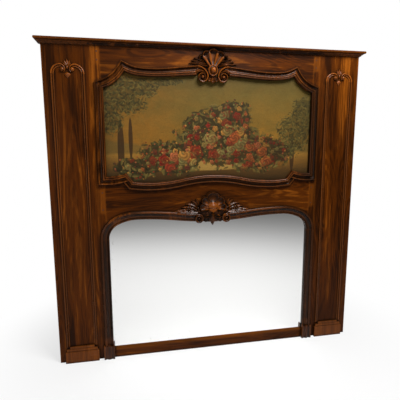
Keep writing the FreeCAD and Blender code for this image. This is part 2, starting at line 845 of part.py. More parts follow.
def swept_moulding(name, nodes, side, profile, width, start_cut, end_cut, lip_depth):
    """A length of moulding that follows its inner line, cut to a mitre at each end.

    The nodes are (point, heading) of the left side; outside lies to the left of the heading.
    A cut is the direction of the mitre, seen from the inner line, or None for a square end.
    """
    outward = 90 if side == LEFT else -90
    placed = mirrored(nodes, side)
    run_on = 1.6 * width
    start, heading = placed[0]
    end, last_heading = placed[-1]
    before = start - polar(heading) * run_on if start_cut is not None else start
    after = end + polar(last_heading) * run_on if end_cut is not None else end
    corners = [before] + smooth_line(placed)[1:-1] + [after]
    body = new_body(name)
    path = drawn_sketch(body, "inner_line", open_line(corners))
    placement = section_placement(before, heading, outward)
    outline = profile_outline(profile(width), width, lip_depth)
    section = drawn_sketch(body, "section", outline, offset=placement)
    sweep = body.newObject("PartDesign::AdditivePipe", name + "_sweep")
    sweep.Profile = section
    sweep.Spine = (path, [])
    sweep.Transition = "Right corner"
    for point, cut, away in ((start, start_cut, 180), (end, end_cut, 0)):
        if cut is None:
            continue
        line = polar(cut if side == LEFT else 180 - cut)
        base_heading = heading if point is start else last_heading
        waste = polar(base_heading + away)
        waste = waste - line * waste.dot(line)
        waste.normalize()
        reach = 2.2 * width
        corners = [point - line * reach, point + line * reach]
        corners += [corners[1] + waste * reach, corners[0] + waste * reach]
        mitre = drawn_sketch(body, "mitre_%d" % away, closed_outline(corners))
        pocket_through(body, mitre)
    return body


def mitre_direction(heading_in, heading_out):
    """Direction of the mitre between two lines, outside to the left of both."""
    return (heading_in + heading_out) / 2 + 90


def node(spread_alias, height_alias, heading):
    """A node of the left half, from two aliases of the sheet."""
    return Vector(-size(spread_alias), size(height_alias), 0), heading


def chord_heading(start, end):
    """Bearing from one point to another."""
    return math.degrees(math.atan2(end.y - start.y, end.x - start.x)) % 360


def make_painting_frame():
    """Eleven mitred lengths around the painting."""
    width = size("painting_moulding_width")
    lip = size("glazing_setback")
    low_corner = Vector(-sight_half, size("painting_bottom_corner"), 0)
    high_corner = Vector(-sight_half, size("painting_top_corner"), 0)
    low_horn = Vector(-size("bottom_horn_spread"), size("bottom_horn_height"), 0)
    low_step = Vector(-size("bottom_step_spread"), size("bottom_step_height"), 0)
    high_horn = Vector(-size("top_horn_spread"), size("top_horn_height"), 0)
    ear_bow = size("ear_bow_angle")
    low_ear_bow = size("low_ear_bow_angle")
    bottom_end = 180 - size("bottom_end_angle")
    horn_fall = -size("top_horn_angle")

    diagonal = chord_heading(low_step, low_horn)
    low_chord = chord_heading(low_horn, low_corner)
    high_chord = chord_heading(high_corner, high_horn)
    cut_step = mitre_direction(bottom_end, diagonal)
    cut_low_horn = mitre_direction(diagonal, low_chord + low_ear_bow)
    cut_low_corner = mitre_direction(low_chord - low_ear_bow, 90)
    cut_high_corner = mitre_direction(90, high_chord - ear_bow)
    cut_high_horn = mitre_direction(high_chord + ear_bow, horn_fall)

    crown = (Vector(0, size("bottom_crown_height"), 0), 180)
    left_half = [crown, node("bottom_sag_spread", "bottom_sag_height", 180), (low_step, bottom_end)]
    right_half = [(Vector(-p.x, p.y, 0), 360 - heading) for p, heading in reversed(left_half)]
    body_nodes = right_half[:-1] + left_half
    swept_moulding("painting_moulding_bottom", body_nodes, LEFT, painting_profile, width,
                   180 - cut_step, cut_step, lip)

    for side in (LEFT, RIGHT):
        word = SIDE_NAME[side]
        swept_moulding("painting_moulding_step_" + word, [(low_step, diagonal), (low_horn, diagonal)],
                       side, painting_profile, width, cut_step, cut_low_horn, lip)
        low_ear = [(low_horn, low_chord + low_ear_bow), (low_corner, low_chord - low_ear_bow)]
        swept_moulding("painting_moulding_low_ear_" + word, low_ear, side, painting_profile, width,
                       cut_low_horn, cut_low_corner, lip)
        swept_moulding("painting_moulding_side_" + word, [(low_corner, 90), (high_corner, 90)],
                       side, painting_profile, width, cut_low_corner, cut_high_corner, lip)
        high_ear = [(high_corner, high_chord - ear_bow), (high_horn, high_chord + ear_bow)]
        swept_moulding("painting_moulding_ear_" + word, high_ear, side, painting_profile, width,
                       cut_high_corner, cut_high_horn, lip)
        top = [(high_horn, horn_fall), node("top_sag_spread", "top_sag_height", 0),
               node("top_end_spread", "top_end_height", size("top_end_angle"))]
        swept_moulding("painting_moulding_top_" + word, top, side, painting_profile, width,
                       cut_high_horn, None, lip)


def make_mirror_frame():
    """Two straight side lengths and two arched lengths that end at the cartouche."""
    width = size("mirror_moulding_width")
    lip = size("glazing_setback")
    foot = Vector(-sight_half, size("foot_height"), 0)
    shoulder = Vector(-sight_half, size("shoulder_height"), 0)
    saddle = (Vector(0, size("saddle_height"), 0), 0)
    for side in (LEFT, RIGHT):
        word = SIDE_NAME[side]
        swept_moulding("mirror_moulding_side_" + word, [(foot, 90), (shoulder, 90)], side,
                       mirror_profile, width, None, None, lip)
        arch = [(shoulder, 90), node("crown_spread", "crown_height", 0), saddle]
        body = swept_moulding("mirror_moulding_arch_" + word, arch, side, mirror_profile, width,
                              None, None, lip)
        # the arch stops against the cartouche: a square cut, and a round one for its volute
        inner = size("cartouche_volute_spread")
        low, high = size("saddle_height") - 2 * width, size("saddle_height") + 2 * width
        corners = [Vector(-inner, low, 0), Vector(inner, low, 0), Vector(inner, high, 0), Vector(-inner, high, 0)]
        pocket_through(body, drawn_sketch(body, "cartouche_place", closed_outline(corners)))
        centre = Vector(side * inner, size("cartouche_volute_height"), 0)
        radius = size("cartouche_volute_radius") + size("joint_clearance")
        round_cut = Part.Circle(centre, Vector(0, 0, 1), radius)
        pocket_through(body, drawn_sketch(body, "volute_place", [round_cut]))


# ---------------------------------------------------------------- what the openings hold

def make_painting_panel():
    """Panel behind the painting's moulding, cut to the shape of the opening."""
    body = new_body("painting_panel", FACE + " + glazing_setback")
    clearance = size("glazing_clearance")
    cover = size("rail_cover") - clearance
    half = opening_half - clearance
    upper = both_halves(painting_top_points(cover, half))
    lower = both_halves(painting_bottom_points(cover, half))
    sketch = drawn_sketch(body, "outline", closed_outline(upper + lower[::-1]))
    pad(body, sketch, "panel_thickness", backwards=True)
    return body


def make_mirror_glass():
    """Mirror plate, cut to the shape of the opening, standing on the ledge of the bottom rail."""
    body = new_body("mirror_glass", FACE + " + glazing_setback")
    clearance = size("glazing_clearance")
    half = opening_half - clearance
    upper = both_halves(mirror_top_points(size("rail_cover") - clearance, half))
    foot = size("glass_ledge")
    outline = upper + [Vector(half, foot, 0), Vector(-half, foot, 0)]
    sketch = drawn_sketch(body, "outline", closed_outline(outline))
    pad(body, sketch, "glass_thickness", backwards=True)
    return body


def make_glazing_blocks():
    """Small blocks glued behind the glass and the panel, against the edge of the opening."""
    length = size("glazing_block_length")
    width = size("glazing_block_width")
    blocks = []

    def block_row(depth, low, high):
        thickness = size("face_thickness") - depth
        for share in (0.15, 0.5, 0.85):
            z = low + (high - low) * share - length / 2
            for x in (-opening_half, opening_half - width):
                corner = Vector(x, face_y + depth, z)
                blocks.append(Part.makeBox(width, thickness, length, corner))

    glass_back = size("glazing_setback") + size("glass_thickness")
    panel_back = size("glazing_setback") + size("panel_thickness")
    block_row(glass_back, size("glass_ledge"), size("shoulder_height"))
    block_row(panel_back, size("painting_bottom_corner"), size("painting_top_corner"))
    for share in (-0.6, 0, 0.6):
        corner = Vector(share * opening_half - length / 2, face_y + glass_back, size("glass_ledge"))
        blocks.append(Part.makeBox(length, size("face_thickness") - glass_back, width, corner))
    return finish(joined("glazing_blocks", blocks), "glazing_blocks")


# ---------------------------------------------------------------- carvings

def steps_between(first, last, count):
    """Evenly spaced numbers, both ends included."""
    return [first + (last - first) * step / count for step in range(count + 1)]


def carved(centre, spokes, shares, outline, relief):
    """A carved solid with a flat back on the face, faceted over rays around a centre.

    spokes are the angles of the rays; shares the places along each, up to 1 at the rim.
    outline(angle) is the length of a ray; relief(angle, share) the height above the face.
    """
    def top(angle, share):
        return face_point(centre + polar(angle) * outline(angle) * share, relief(angle, share))

    hub = face_point(centre, relief(spokes[0], 0))
    faces = []
    for one, two in zip(spokes, spokes[1:] + spokes[:1]):
        faces.append(facet([hub, top(one, shares[0]), top(two, shares[0])]))
        for near, far in zip(shares, shares[1:]):
            faces.append(facet([top(one, near), top(one, far), top(two, far)]))
            faces.append(facet([top(one, near), top(two, far), top(two, near)]))
        foot_one = face_point(centre + polar(one) * outline(one), 0)
        foot_two = face_point(centre + polar(two) * outline(two), 0)
        faces.append(facet([top(one, 1), foot_one, foot_two, top(two, 1)]))
    faces.append(facet([face_point(centre + polar(angle) * outline(angle), 0) for angle in spokes]))
    return Part.makeSolid(Part.makeShell(faces))


def dome(centre, half_wide, half_tall, height, base=0.0, spokes=10):
    """A rounded boss on an oval foot."""
    def reach(angle):
        way = polar(angle)
        return 1 / math.hypot(way.x / half_wide, way.y / half_tall)

    def rise(angle, share):
        return base + (height - base) * math.sqrt(max(0.0, 1 - share ** 2 * 0.97))

    angles = [360 * number / spokes for number in range(spokes)]
    return carved(centre, angles, [0.45, 0.8, 1], reach, rise)


def reach_to(corners, centre, angle):
    """Distance from a centre to the polygon around it, along a ray."""
    ray = polar(angle)
    best = None
    for one, two in zip(corners, corners[1:] + corners[:1]):
        edge = two - one
        offset = one - centre
        cross = ray.x * edge.y - ray.y * edge.x
        if abs(cross) < 1e-9:
            continue
        distance = (offset.x * edge.y - offset.y * edge.x) / cross
        along = (offset.x * ray.y - offset.y * ray.x) / cross
        if distance > 0 and -1e-6 <= along <= 1 + 1e-6 and (best is None or distance < best):
            best = distance
    return best


def corner_angles(corners, centre, count):
    """Angles of rays around a centre: an even fan, and one ray to each corner."""
    even = [360 * number / count for number in range(count)]
    exact = [math.degrees(math.atan2(c.y - centre.y, c.x - centre.x)) % 360 for c in corners]
    spread = [angle for angle in even if min(abs((angle - e + 180) % 360 - 180) for e in exact) > 2]
    return sorted(spread + exact)


def leaf(corners, centre, height, veins, edge=0.35):
    """A leaf with veins, on a polygon around its centre."""
    def rise(angle, share):
        fold = abs(math.cos(math.radians(angle * veins / 2)))
        return height * (edge + (1 - edge) * (1 - share ** 2)) * (0.75 + 0.25 * fold)

    return carved(centre, corner_angles(corners, centre, 4 * veins), [0.5, 1],
                  lambda angle: reach_to(corners, centre, angle), rise)


def fan_phase(angle, first, last, lobes):
    """Place within a lobe of a fan, from 0 to 1."""
    return ((angle - first) / (last - first) * lobes) % 1


def scallop_shell(focus, first, last, lobes, upright, sideways, foot, thickness):
    """A fan of hollow lobes with ribs between them and a rolled rim."""
    middle = (first + last) / 2

    def outline(angle):
        if angle < first - 0.01 or angle > last + 0.01:
            return foot
        way = polar(angle)
        oval = 1 / math.hypot(way.x / sideways, way.y / upright)
        place = fan_phase(angle, first, last, lobes)
        if abs(angle - last) < 0.01:
            place = 0
        return oval * (0.89 + 0.11 * math.sin(math.pi * place) ** 0.7)

    def rise(angle, share):
        if angle < first - 0.01 or angle > last + 0.01:
            return thickness
        place = fan_phase(angle, first, last, lobes)
        if abs(angle - last) < 0.01:
            place = 0
        rib = abs(math.cos(math.pi * place)) ** 1.5
        if share > 0.99:
            return 0.55 * thickness
        if share > 0.84:
            return thickness * 1.1
        bowl = 0.35 + 0.65 * rib
        return thickness * (1 - (1 - bowl) * math.sin(math.pi * min(1, share / 0.86)))

    fan = steps_between(first, last, lobes * 5)
    below = steps_between(last, first + 360, 8)[1:-1]
    return carved(focus, fan + below, [0.2, 0.5, 0.76, 0.87, 1], outline, rise)


def behind_cornice():
    """Room taken by the cornice and its moulding, which the shell laps over."""
    clearance = size("joint_clearance")
    low = size("carcass_height") - size("cornice_moulding_height") - clearance
    depth = size("cornice_moulding_reach") + clearance
    return Part.makeBox(2 * half_width, depth, total_height - low, Vector(-half_width, face_y - depth, low))


def make_crest_shell():
    """Scallop shell over the painting, with its pearl, stepped leaves and a small fan below."""
    focus = Vector(0, size("pearl_height"), 0)
    reach = size("shell_reach")
    thickness = size("shell_thickness")
    pearl = size("pearl_radius")
    shapes = [scallop_shell(focus, 25, 155, 5, reach, reach * 0.86, pearl, thickness)]
    shapes.append(dome(focus, pearl, pearl * 1.2, size("relief_depth"), thickness * 0.5, 14))
    # fan that hangs between the volutes
    room = size("volute_spread") - size("volute_radius") - size("volute_gap")
    fan_centre = Vector(0, size("volute_height") + 4, 0)
    foot = size("volute_height") - size("volute_radius")
    corners = [Vector(-room, fan_centre.y + 12, 0), Vector(room, fan_centre.y + 12, 0),
               Vector(room, foot + 12, 0), Vector(room * 0.55, foot + 3, 0), Vector(0, foot, 0),
               Vector(-room * 0.55, foot + 3, 0), Vector(-room, foot + 12, 0)]
    shapes.append(leaf(corners, fan_centre, thickness * 1.1, 4, 0.6))
    shapes.append(dome(Vector(0, foot + 15, 0), room * 0.42, 8, thickness * 1.5))
    for side in (LEFT, RIGHT):
        shapes.append(dome(Vector(side * room * 0.6, foot + 19, 0), room * 0.36, 8, thickness * 1.3))
    # stepped leaves that spread over the moulding on both sides
    wing = size("crest_wing_reach")
    low = size("crest_leaf_height")
    for side in (LEFT, RIGHT):
        for near, far, height in ((0.1, 1, 16), (0.1, 0.86, 32), (0.1, 0.7, 46)):
            outline = [Vector(side * wing * near, low, 0), Vector(side * wing * far, low, 0),
                       Vector(side * wing * (far - 0.06), low + height * 0.8, 0),
                       Vector(side * wing * (far - 0.2), low + height, 0),
                       Vector(side * wing * near, low + height * 0.9, 0)]
            centre = Vector(side * wing * (far * 0.6), low + height * 0.45, 0)
            shapes.append(leaf(outline, centre, thickness * 0.8 - height * 0.03, 3))
    feature = document.addObject("Part::Feature", "crest_shell")
    feature.Shape = fused(shapes).cut(behind_cornice())
    return finish(feature, "crest_shell")


def volute(centre, side, outline, start_angle, relief, ball, spokes=24):
    """A scroll: a bead that coils inwards on a disc, with a ball at the eye."""
    def turned(angle):
        own = angle if side == RIGHT else 180 - angle
        return (own - start_angle) % 360

    def rise(angle, share):
        if share < 0.05:
            return relief * 1.15
        if share < ball * 0.75:
            return relief * 1.05
        if share < ball * 1.05:
            return relief * 0.6
        coil = (share - ball) / (1 - ball) * 1.5 - turned(angle) / 360 * 1.0
        bead = abs(math.sin(math.pi * coil))
        return relief * (0.55 + 0.4 * bead)

    angles = [start_angle + 0.01 + 360 * number / spokes for number in range(spokes)]
    own = [angle if side == RIGHT else 180 - angle for angle in angles]
    places = [ball * 0.7, ball] + steps_between(ball, 1, 4)[1:]
    return carved(centre, sorted(angle % 360 for angle in own), places, outline, rise)


def make_crest_volute(side):
    """Scroll at the end of the painting's top moulding."""
    centre = Vector(side * size("volute_spread"), size("volute_height"), 0)
    end_x = size("top_end_spread") - size("joint_clearance") - size("volute_spread")
    end_z = size("top_end_height") + size("painting_moulding_width") - size("volute_height")
    radius = size("volute_radius")
    start = math.degrees(math.atan2(end_z, end_x))
    first_reach = math.hypot(end_x, end_z)

    def outline(angle):
        own = angle if side == RIGHT else 180 - angle
        turn = (own - start) % 360
        falling = (first_reach - radius) * math.exp(-turn / 32)
        rising = 0.16 * radius * math.exp((turn - 310) / 30)
        reach = radius + falling + rising
        across = math.cos(math.radians(own))
        if across > 0.01:
            reach = min(reach, end_x / across)
        return reach

    ball = size("volute_ball_radius") / radius
    feature = document.addObject("Part::Feature", "crest_volute_" + SIDE_NAME[side])
    feature.Shape = volute(centre, side, outline, start, size("volute_relief"), ball)
    return finish(feature, "crest_volute_" + SIDE_NAME[side])


def make_cartouche_shell():
    """Carving over the mirror: a shell, a three-lobed bowl, a row of balls, volutes and a pendant."""
    middle = Vector(0, size("cartouche_height"), 0)
    relief = size("cartouche_relief")
    top_reach = size("cartouche_shell_reach")
    shapes = [scallop_shell(middle, -8, 188, 5, top_reach, size("cartouche_half_width"), 20, relief)]
    bowl = size("bowl_radius")
    shapes.append(dome(middle - Vector(0, 5, 0), bowl * 0.85, bowl, relief * 1.8, relief * 0.5, 12))
    for side in (LEFT, RIGHT):
        place = middle + Vector(side * bowl * 1.6, -6, 0)
        shapes.append(dome(place, bowl * 0.65, bowl * 0.78, relief * 1.45, relief * 0.4, 10))
    # base between the volutes, with a row of balls along it
    spread = size("cartouche_volute_spread")
    radius = size("cartouche_volute_radius")
    volute_z = size("cartouche_volute_height")
    base_high = size("cartouche_height") - 8
    base_low = size("saddle_height") + 2
    corners = [Vector(-spread, volute_z, 0), Vector(-spread * 0.55, base_low, 0),
               Vector(spread * 0.55, base_low, 0), Vector(spread, volute_z, 0),
               Vector(spread * 0.94, base_high, 0), Vector(-spread * 0.94, base_high, 0)]
    base_centre = Vector(0, (base_low + base_high) / 2, 0)
    shapes.append(leaf(corners, base_centre, relief, 6, 0.6))
    for place in (-2, -1, 0, 1, 2):
        ball = Vector(place * 20, base_high - bowl * 0.95 + abs(place) * 1.5, 0)
        shapes.append(dome(ball, 8, 8, relief * 1.35, relief * 0.3, 7))
    # volutes
    for side in (LEFT, RIGHT):
        centre = Vector(side * spread, volute_z, 0)
        shapes.append(volute(centre, side, lambda angle: radius, 100, relief, 0.35, 16))
    # pendant leaf
    tip = size("pendant_tip_height")
    root = base_low + 30
    pendant = [Vector(0, tip, 0), Vector(9, tip + 12, 0), Vector(14, tip + 30, 0), Vector(8, root, 0),
               Vector(-8, root, 0), Vector(-14, tip + 30, 0), Vector(-9, tip + 12, 0)]
    shapes.append(leaf(pendant, Vector(0, (tip + root) / 2, 0), relief * 1.5, 4, 0.4))
    feature = document.addObject("Part::Feature", "cartouche_shell")
    feature.Shape = fused(shapes)
    return finish(feature, "cartouche_shell")


def make_flower_spray(side):
    """Leaves and a rosette beside the cartouche, on the rail above the moulding."""
    near = size("cartouche_half_width") + 6
    far = size("spray_reach")
    low = (size("saddle_height") + size("crown_height")) / 2 + size("mirror_moulding_width") + 2
    high = low + size("spray_height")
    relief = size("spray_relief")
    span = far - near
    rise = high - low
    tips = ((1.0, 0.0), (0.72, 0.17), (0.78, 0.3), (0.52, 0.42), (0.55, 0.62), (0.36, 0.7), (0.3, 1.0),
            (0.16, 0.72), (0.0, 0.62), (0.06, 0.36), (0.0, 0.0))
    corners = [Vector(side * (near + span * across), low + rise * up, 0) for across, up in tips]
    centre = Vector(side * (near + span * 0.3), low + rise * 0.3, 0)
    spray = leaf(corners, centre, relief, 6, 0.45)

    def petal(angle):
        return 19 + 3 * abs(math.cos(math.radians(angle * 2.5)))

    def cup(angle, share):
        if share < 0.1:
            return relief * 1.9
        return relief * (1.1 + 0.5 * math.sin(math.pi * min(1, share)))

    rosette = carved(centre, [360 * number / 20 for number in range(20)], [0.3, 0.7, 1], petal, cup)
    feature = document.addObject("Part::Feature", "flower_spray_" + SIDE_NAME[side])
    feature.Shape = fused([spray, rosette])
    return finish(feature, "flower_spray_" + SIDE_NAME[side])


# ---------------------------------------------------------------- pilasters

def pilaster_profile(width):
    """Section of the pilaster's moulding, from its outer edge: a bead, a cove and a low bead."""
    relief = size("pilaster_bead_relief")
    row = bead_row([((0, relief * 0.5), relief * 0.5, (width * 0.5, relief * 0.5))])
    row += [(width * 0.6, relief * 0.25)]
    row += bead_row([((width * 0.68, relief * 0.3), relief * 0.35, (width, relief * 0.2))], steps=2)
    return row


def pilaster_section(width):
    points = [(0, 0)] + pilaster_profile(width) + [(width, 0)]
    return closed_outline([Vector(across, proud, 0) for across, proud in points])


def cap_top():
    return size("plinth_height") + size("cap_step_height")


def make_pilaster_beads(side):
    """Two straight lengths that run from the plinth cap up to the arch."""
    width = size("pilaster_bead_width")
    height = size("pilaster_spring_height") - cap_top()
    centre = side * size("pilaster_centre")
    for half, word in ((LEFT, "left"), (RIGHT, "right")):
        name = "pilaster_bead_%s_%s" % (SIDE_NAME[side], word)
        body = new_body(name)
        outer = Vector(centre + half * size("ornament_width") / 2, cap_top(), 0)
        placement = section_placement(outer, 90, 90 if half == RIGHT else -90)
        section = drawn_sketch(body, "section", pilaster_section(width), offset=placement)
        path = drawn_sketch(body, "line", [Part.LineSegment(outer, outer + Vector(0, height, 0))])
        sweep = body.newObject("PartDesign::AdditivePipe", name + "_sweep")
        sweep.Profile = section
        sweep.Spine = (path, [])


def stepped_length(sections):
    """A solid through a row of closed sections that have the same number of corners."""
    faces = [facet(sections[0]), facet(sections[-1])]
    for one, two in zip(sections, sections[1:]):
        for number in range(len(one)):
            after = (number + 1) % len(one)
            faces.append(facet([one[number], one[after], two[after], two[number]]))
    return Part.makeSolid(Part.makeShell(faces))


def pilaster_lobe(side, half):
    """One half of the arch: the moulding turns over and curls in to a ball."""
    centre = side * size("pilaster_centre")
    spring_x = centre + half * size("ornament_width") / 2
    radius = size("pilaster_arch_radius")
    curl = size("pilaster_curl_radius")
    width = size("pilaster_bead_width")
    profile = [(0, 0)] + pilaster_profile(width) + [(width, 0)]
    bend = Vector(spring_x - half * radius, size("pilaster_spring_height"), 0)
    hub = bend + Vector(0, radius - curl, 0)
    turns = [(bend, radius, turn) for turn in steps_between(0, 90, 5)]
    turns += [(hub, curl, turn) for turn in steps_between(90, 165, 4)[1:]]
    sections = []
    for middle, reach, turn in turns:
        ray = polar(90 - half * (90 - turn))
        sections.append([face_point(middle + ray * (reach - across), proud) for across, proud in profile])
    ball_radius = size("pilaster_ball_radius")
    eye = hub - Vector(0.36 * half * curl, 0, 0)
    ball = dome(eye, ball_radius, ball_radius, size("pilaster_bead_relief") * 1.1, spokes=8)
    return [stepped_length(sections), ball]


def make_pilaster_arch(side):
    """The head of the pilaster's panel: two lobes, a leaf spray above and a drop below."""
    centre = side * size("pilaster_centre")
    relief = size("pilaster_bead_relief")
    crown = size("pilaster_spring_height") + size("pilaster_arch_radius")
    root = Vector(centre, crown - 0.45 * size("pilaster_curl_radius"), 0)
    shapes = pilaster_lobe(side, LEFT) + pilaster_lobe(side, RIGHT)
    length = size("pilaster_leaf_length")

    def spray(angle):
        if 10 <= angle <= 170:
            return length * (0.72 + 0.28 * abs(math.cos(math.radians(angle - 90) * 3.4)))
        return length * 0.4

    def vein(angle, share):
        return relief * (0.5 + 0.5 * (1 - share)) * (0.7 + 0.3 * abs(math.cos(math.radians(angle - 90) * 3.4)))

    shapes.append(carved(root, [360 * number / 26 for number in range(26)], [0.5, 1], spray, vein))
    drop = size("pilaster_drop_length")
    eye = root - Vector(0, 1.5 * drop, 0)
    lozenge = [eye + Vector(0, drop, 0), eye + Vector(-0.65 * drop, 0.1 * drop, 0),
               eye - Vector(0, 0.8 * drop, 0), eye + Vector(0.65 * drop, 0.1 * drop, 0)]
    shapes.append(leaf(lozenge, eye, relief, 2))
    feature = document.addObject("Part::Feature", "pilaster_arch_" + SIDE_NAME[side])
    feature.Shape = fused(shapes)
    return finish(feature, "pilaster_arch_" + SIDE_NAME[side])


def upper_front_edges(feature, top, front_y, tolerance=0.01):
    """Names of the edges around the top of a pad, apart from the one on the board."""
    names = []
    for number, edge in enumerate(feature.Shape.Edges, start=1):
        box = edge.BoundBox
        if abs(box.ZMin - top) < tolerance and abs(box.ZMax - top) < tolerance and box.YMin < front_y - 0.5:
            names.append("Edge%d" % number)
    return names


def make_plinth_block(side):
    """Block at the foot of the pilaster, bevelled around its top."""
    body = new_body("plinth_block_" + SIDE_NAME[side])
    bind(body, ".Placement.Base.x", "%d * pilaster_centre" % side)
    block = pad(body, rectangle_sketch(body, "front", "plinth_width", "plinth_height"), "plinth_relief")
    document.recompute()
    bevel = body.newObject("PartDesign::Chamfer", body.Name + "_bevel")
    bevel.Base = (block, upper_front_edges(block, size("plinth_height"), 0))
    bind(bevel, "Size", "plinth_bevel")
    return body


def make_plinth_cap(side):
    """Two rounded steps on the block, the upper one between the beads."""
    body = new_body("plinth_cap_" + SIDE_NAME[side])
    bind(body, ".Placement.Base.x", "%d * pilaster_centre" % side)
    bind(body, ".Placement.Base.z", "plinth_height")
    lower = pad(body, rectangle_sketch(body, "lower", "ornament_width", "cap_step_height"),
                "cap_lower_relief")
    document.recompute()
    nose = body.newObject("PartDesign::Fillet", body.Name + "_lower_nose")
    nose.Base = (lower, upper_front_edges(lower, size("cap_step_height"), 0))
    bind(nose, "Radius", "cap_rounding")
    slack = "2 * joint_clearance"
    inner_width = "ornament_width - 2 * pilaster_bead_width - " + slack
    upper = pad(body, rectangle_sketch(body, "upper", inner_width, "2 * cap_step_height"), "cap_upper_relief")
    document.recompute()
    top_nose = body.newObject("PartDesign::Fillet", body.Name + "_upper_nose")
    top_nose.Base = (upper, upper_front_edges(upper, 2 * size("cap_step_height"), 0))
    bind(top_nose, "Radius", "cap_rounding")
    return body


def make_foot_block(side):
    """Small block under the mirror's moulding, with a scalloped face that laps over its end."""
    body = new_body("foot_block_" + SIDE_NAME[side])
    bind(body, ".Placement.Base.x", "%d * foot_centre" % side)
    pad(body, rectangle_sketch(body, "front", "foot_width", "foot_height"), "foot_relief")
    half = size("foot_width") / 2
    base = size("foot_height") - size("foot_lobe_height") / 2
    rise = size("foot_height") + size("foot_lobe_height") - base
    lobes = [half, half * 0.55, -half * 0.55, -half]
    outline = [Vector(-half, 0, 0), Vector(half, 0, 0), Vector(half, base, 0)]
    for right, left in zip(lobes, lobes[1:]):
        for turn in steps_between(0, 180, 6)[1:]:
            way = polar(turn)
            outline.append(Vector((right + left) / 2 + way.x * (right - left) / 2, base + way.y * rise, 0))
    offset = Placement(Vector(0, 0, size("foot_relief")), Rotation())
    scallops = drawn_sketch(body, "scallops", closed_outline(outline), offset=offset)
    pad(body, scallops, "foot_face_relief - foot_relief")
    return body


# ---------------------------------------------------------------- build

def build():
    """Make every sub-part."""
    pegs = make_rail_pegs()
    nails = make_back_board_nails()
    plate_nails = make_plate_nails()
    for side in (LEFT, RIGHT):
        make_pilaster_board(side)
        make_centre_stile(side, pegs)
    make_top_rail(pegs)
    make_middle_rail(pegs)
    make_bottom_rail(pegs)
    for side in (LEFT, RIGHT):
        make_side_return(side, nails)
        make_inner_post(side, nails, plate_nails)
    make_top_board()
    make_middle_batten()
    make_back_boards(nails)
    make_hanging_plates(plate_nails)
    make_cornice_board()
    make_cornice_mouldings()
    make_painting_frame()
    make_mirror_frame()
    make_painting_panel()
    make_mirror_glass()
    make_glazing_blocks()
    for side in (LEFT, RIGHT):
        make_pilaster_beads(side)
        make_pilaster_arch(side)
        make_plinth_block(side)
        make_plinth_cap(side)
        make_foot_block(side)
        make_crest_volute(side)
        make_flower_spray(side)
    make_crest_shell()
    make_cartouche_shell()
    document.recompute()


def check():
    """Stop if any object failed or any sub-part has no sound shape."""
    for thing in document.Objects:
        if "Invalid" in thing.State or "Error" in thing.State:
            raise RuntimeError("%s failed: %s" % (thing.Label, thing.State))
    for thing in finished:
        if thing.Shape.isNull() or not thing.Shape.isValid() or thing.Shape.Volume <= 0:
            raise RuntimeError("%s has no sound shape" % thing.Label)


def export():
    """Write one file per sub-part."""
    os.makedirs("parts", exist_ok=True)
    for thing in finished:
        thing.Shape.exportStep("parts/%s.step" % thing.Label)


build()
check()
export()
print("%d sub-parts" % len(finished))
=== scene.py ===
"""Looks of the trumeau mirror: walnut, carved mouldings, a painted panel and a silvered glass.

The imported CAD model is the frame. Sizes below are millimetres, on the flat of the face:
x to the right, z up, and "proud" towards the front (-Y). Meshes are made in metres.
"""

import functools
import json
import math

import bmesh
import bpy
import numpy as np
from mathutils import Matrix, Vector


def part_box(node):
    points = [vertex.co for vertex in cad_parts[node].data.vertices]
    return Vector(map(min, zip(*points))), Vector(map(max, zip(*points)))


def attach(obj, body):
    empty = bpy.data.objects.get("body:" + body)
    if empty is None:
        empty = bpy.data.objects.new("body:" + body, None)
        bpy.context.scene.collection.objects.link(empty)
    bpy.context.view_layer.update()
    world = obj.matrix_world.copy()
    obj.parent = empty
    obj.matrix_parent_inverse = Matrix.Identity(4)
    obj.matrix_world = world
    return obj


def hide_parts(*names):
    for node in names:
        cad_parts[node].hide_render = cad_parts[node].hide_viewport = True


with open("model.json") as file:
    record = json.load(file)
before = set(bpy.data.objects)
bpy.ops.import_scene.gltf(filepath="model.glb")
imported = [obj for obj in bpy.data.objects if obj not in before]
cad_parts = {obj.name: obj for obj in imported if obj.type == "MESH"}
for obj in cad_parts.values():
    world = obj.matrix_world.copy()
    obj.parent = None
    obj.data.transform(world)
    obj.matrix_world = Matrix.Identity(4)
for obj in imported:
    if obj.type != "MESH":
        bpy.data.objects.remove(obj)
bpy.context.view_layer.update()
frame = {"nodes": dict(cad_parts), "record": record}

MM = 0.001
LEFT, RIGHT = -1, 1
SIDE_NAME = {LEFT: "left", RIGHT: "right"}

# the plane of the face, read from the frame
FACE_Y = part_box("pilaster_board_left")[0][1] / MM

# ---------------------------------------------------------------- sizes of the ornament

SIGHT_HALF = 498        # half the width inside both frames
LIP = 5                 # how far a moulding's lip reaches behind the face

MIRROR_WIDTH = 41
MIRROR_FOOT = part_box("foot_block_left")[1][2] / MM - 8
SHOULDER = 600          # where the straight sides end and the arch starts
CROWN = (362, 690)
SADDLE = 667

PAINTING_WIDTH = 38
CREST_END = (80, 1355)  # where the painting's top moulding meets its scroll
CREST_END_WIDTH = 45
CREST_END_HEADING = 3

PILASTER_CENTRE = 645.5
ORNAMENT_HALF = 71.5
PILASTER_BEAD = 15
SPRING = 1348
ARCH_RADIUS = 42
CURL_RADIUS = 24
CURL_TURN = 130
CAP_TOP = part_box("plinth_cap_left")[1][2] / MM

VOLUTE = (49.5, 1350)
PEARL = (0, 1380)
CARTOUCHE = (0, 752)
CARTOUCHE_VOLUTE = (69, 684)

# ---------------------------------------------------------------- meshes on the face


def to_world(points):
    """(x, z, proud) in millimetres to world metres."""
    points = np.asarray(points, dtype=float)
    return np.stack([points[..., 0], FACE_Y - points[..., 2], points[..., 1]], axis=-1) * MM


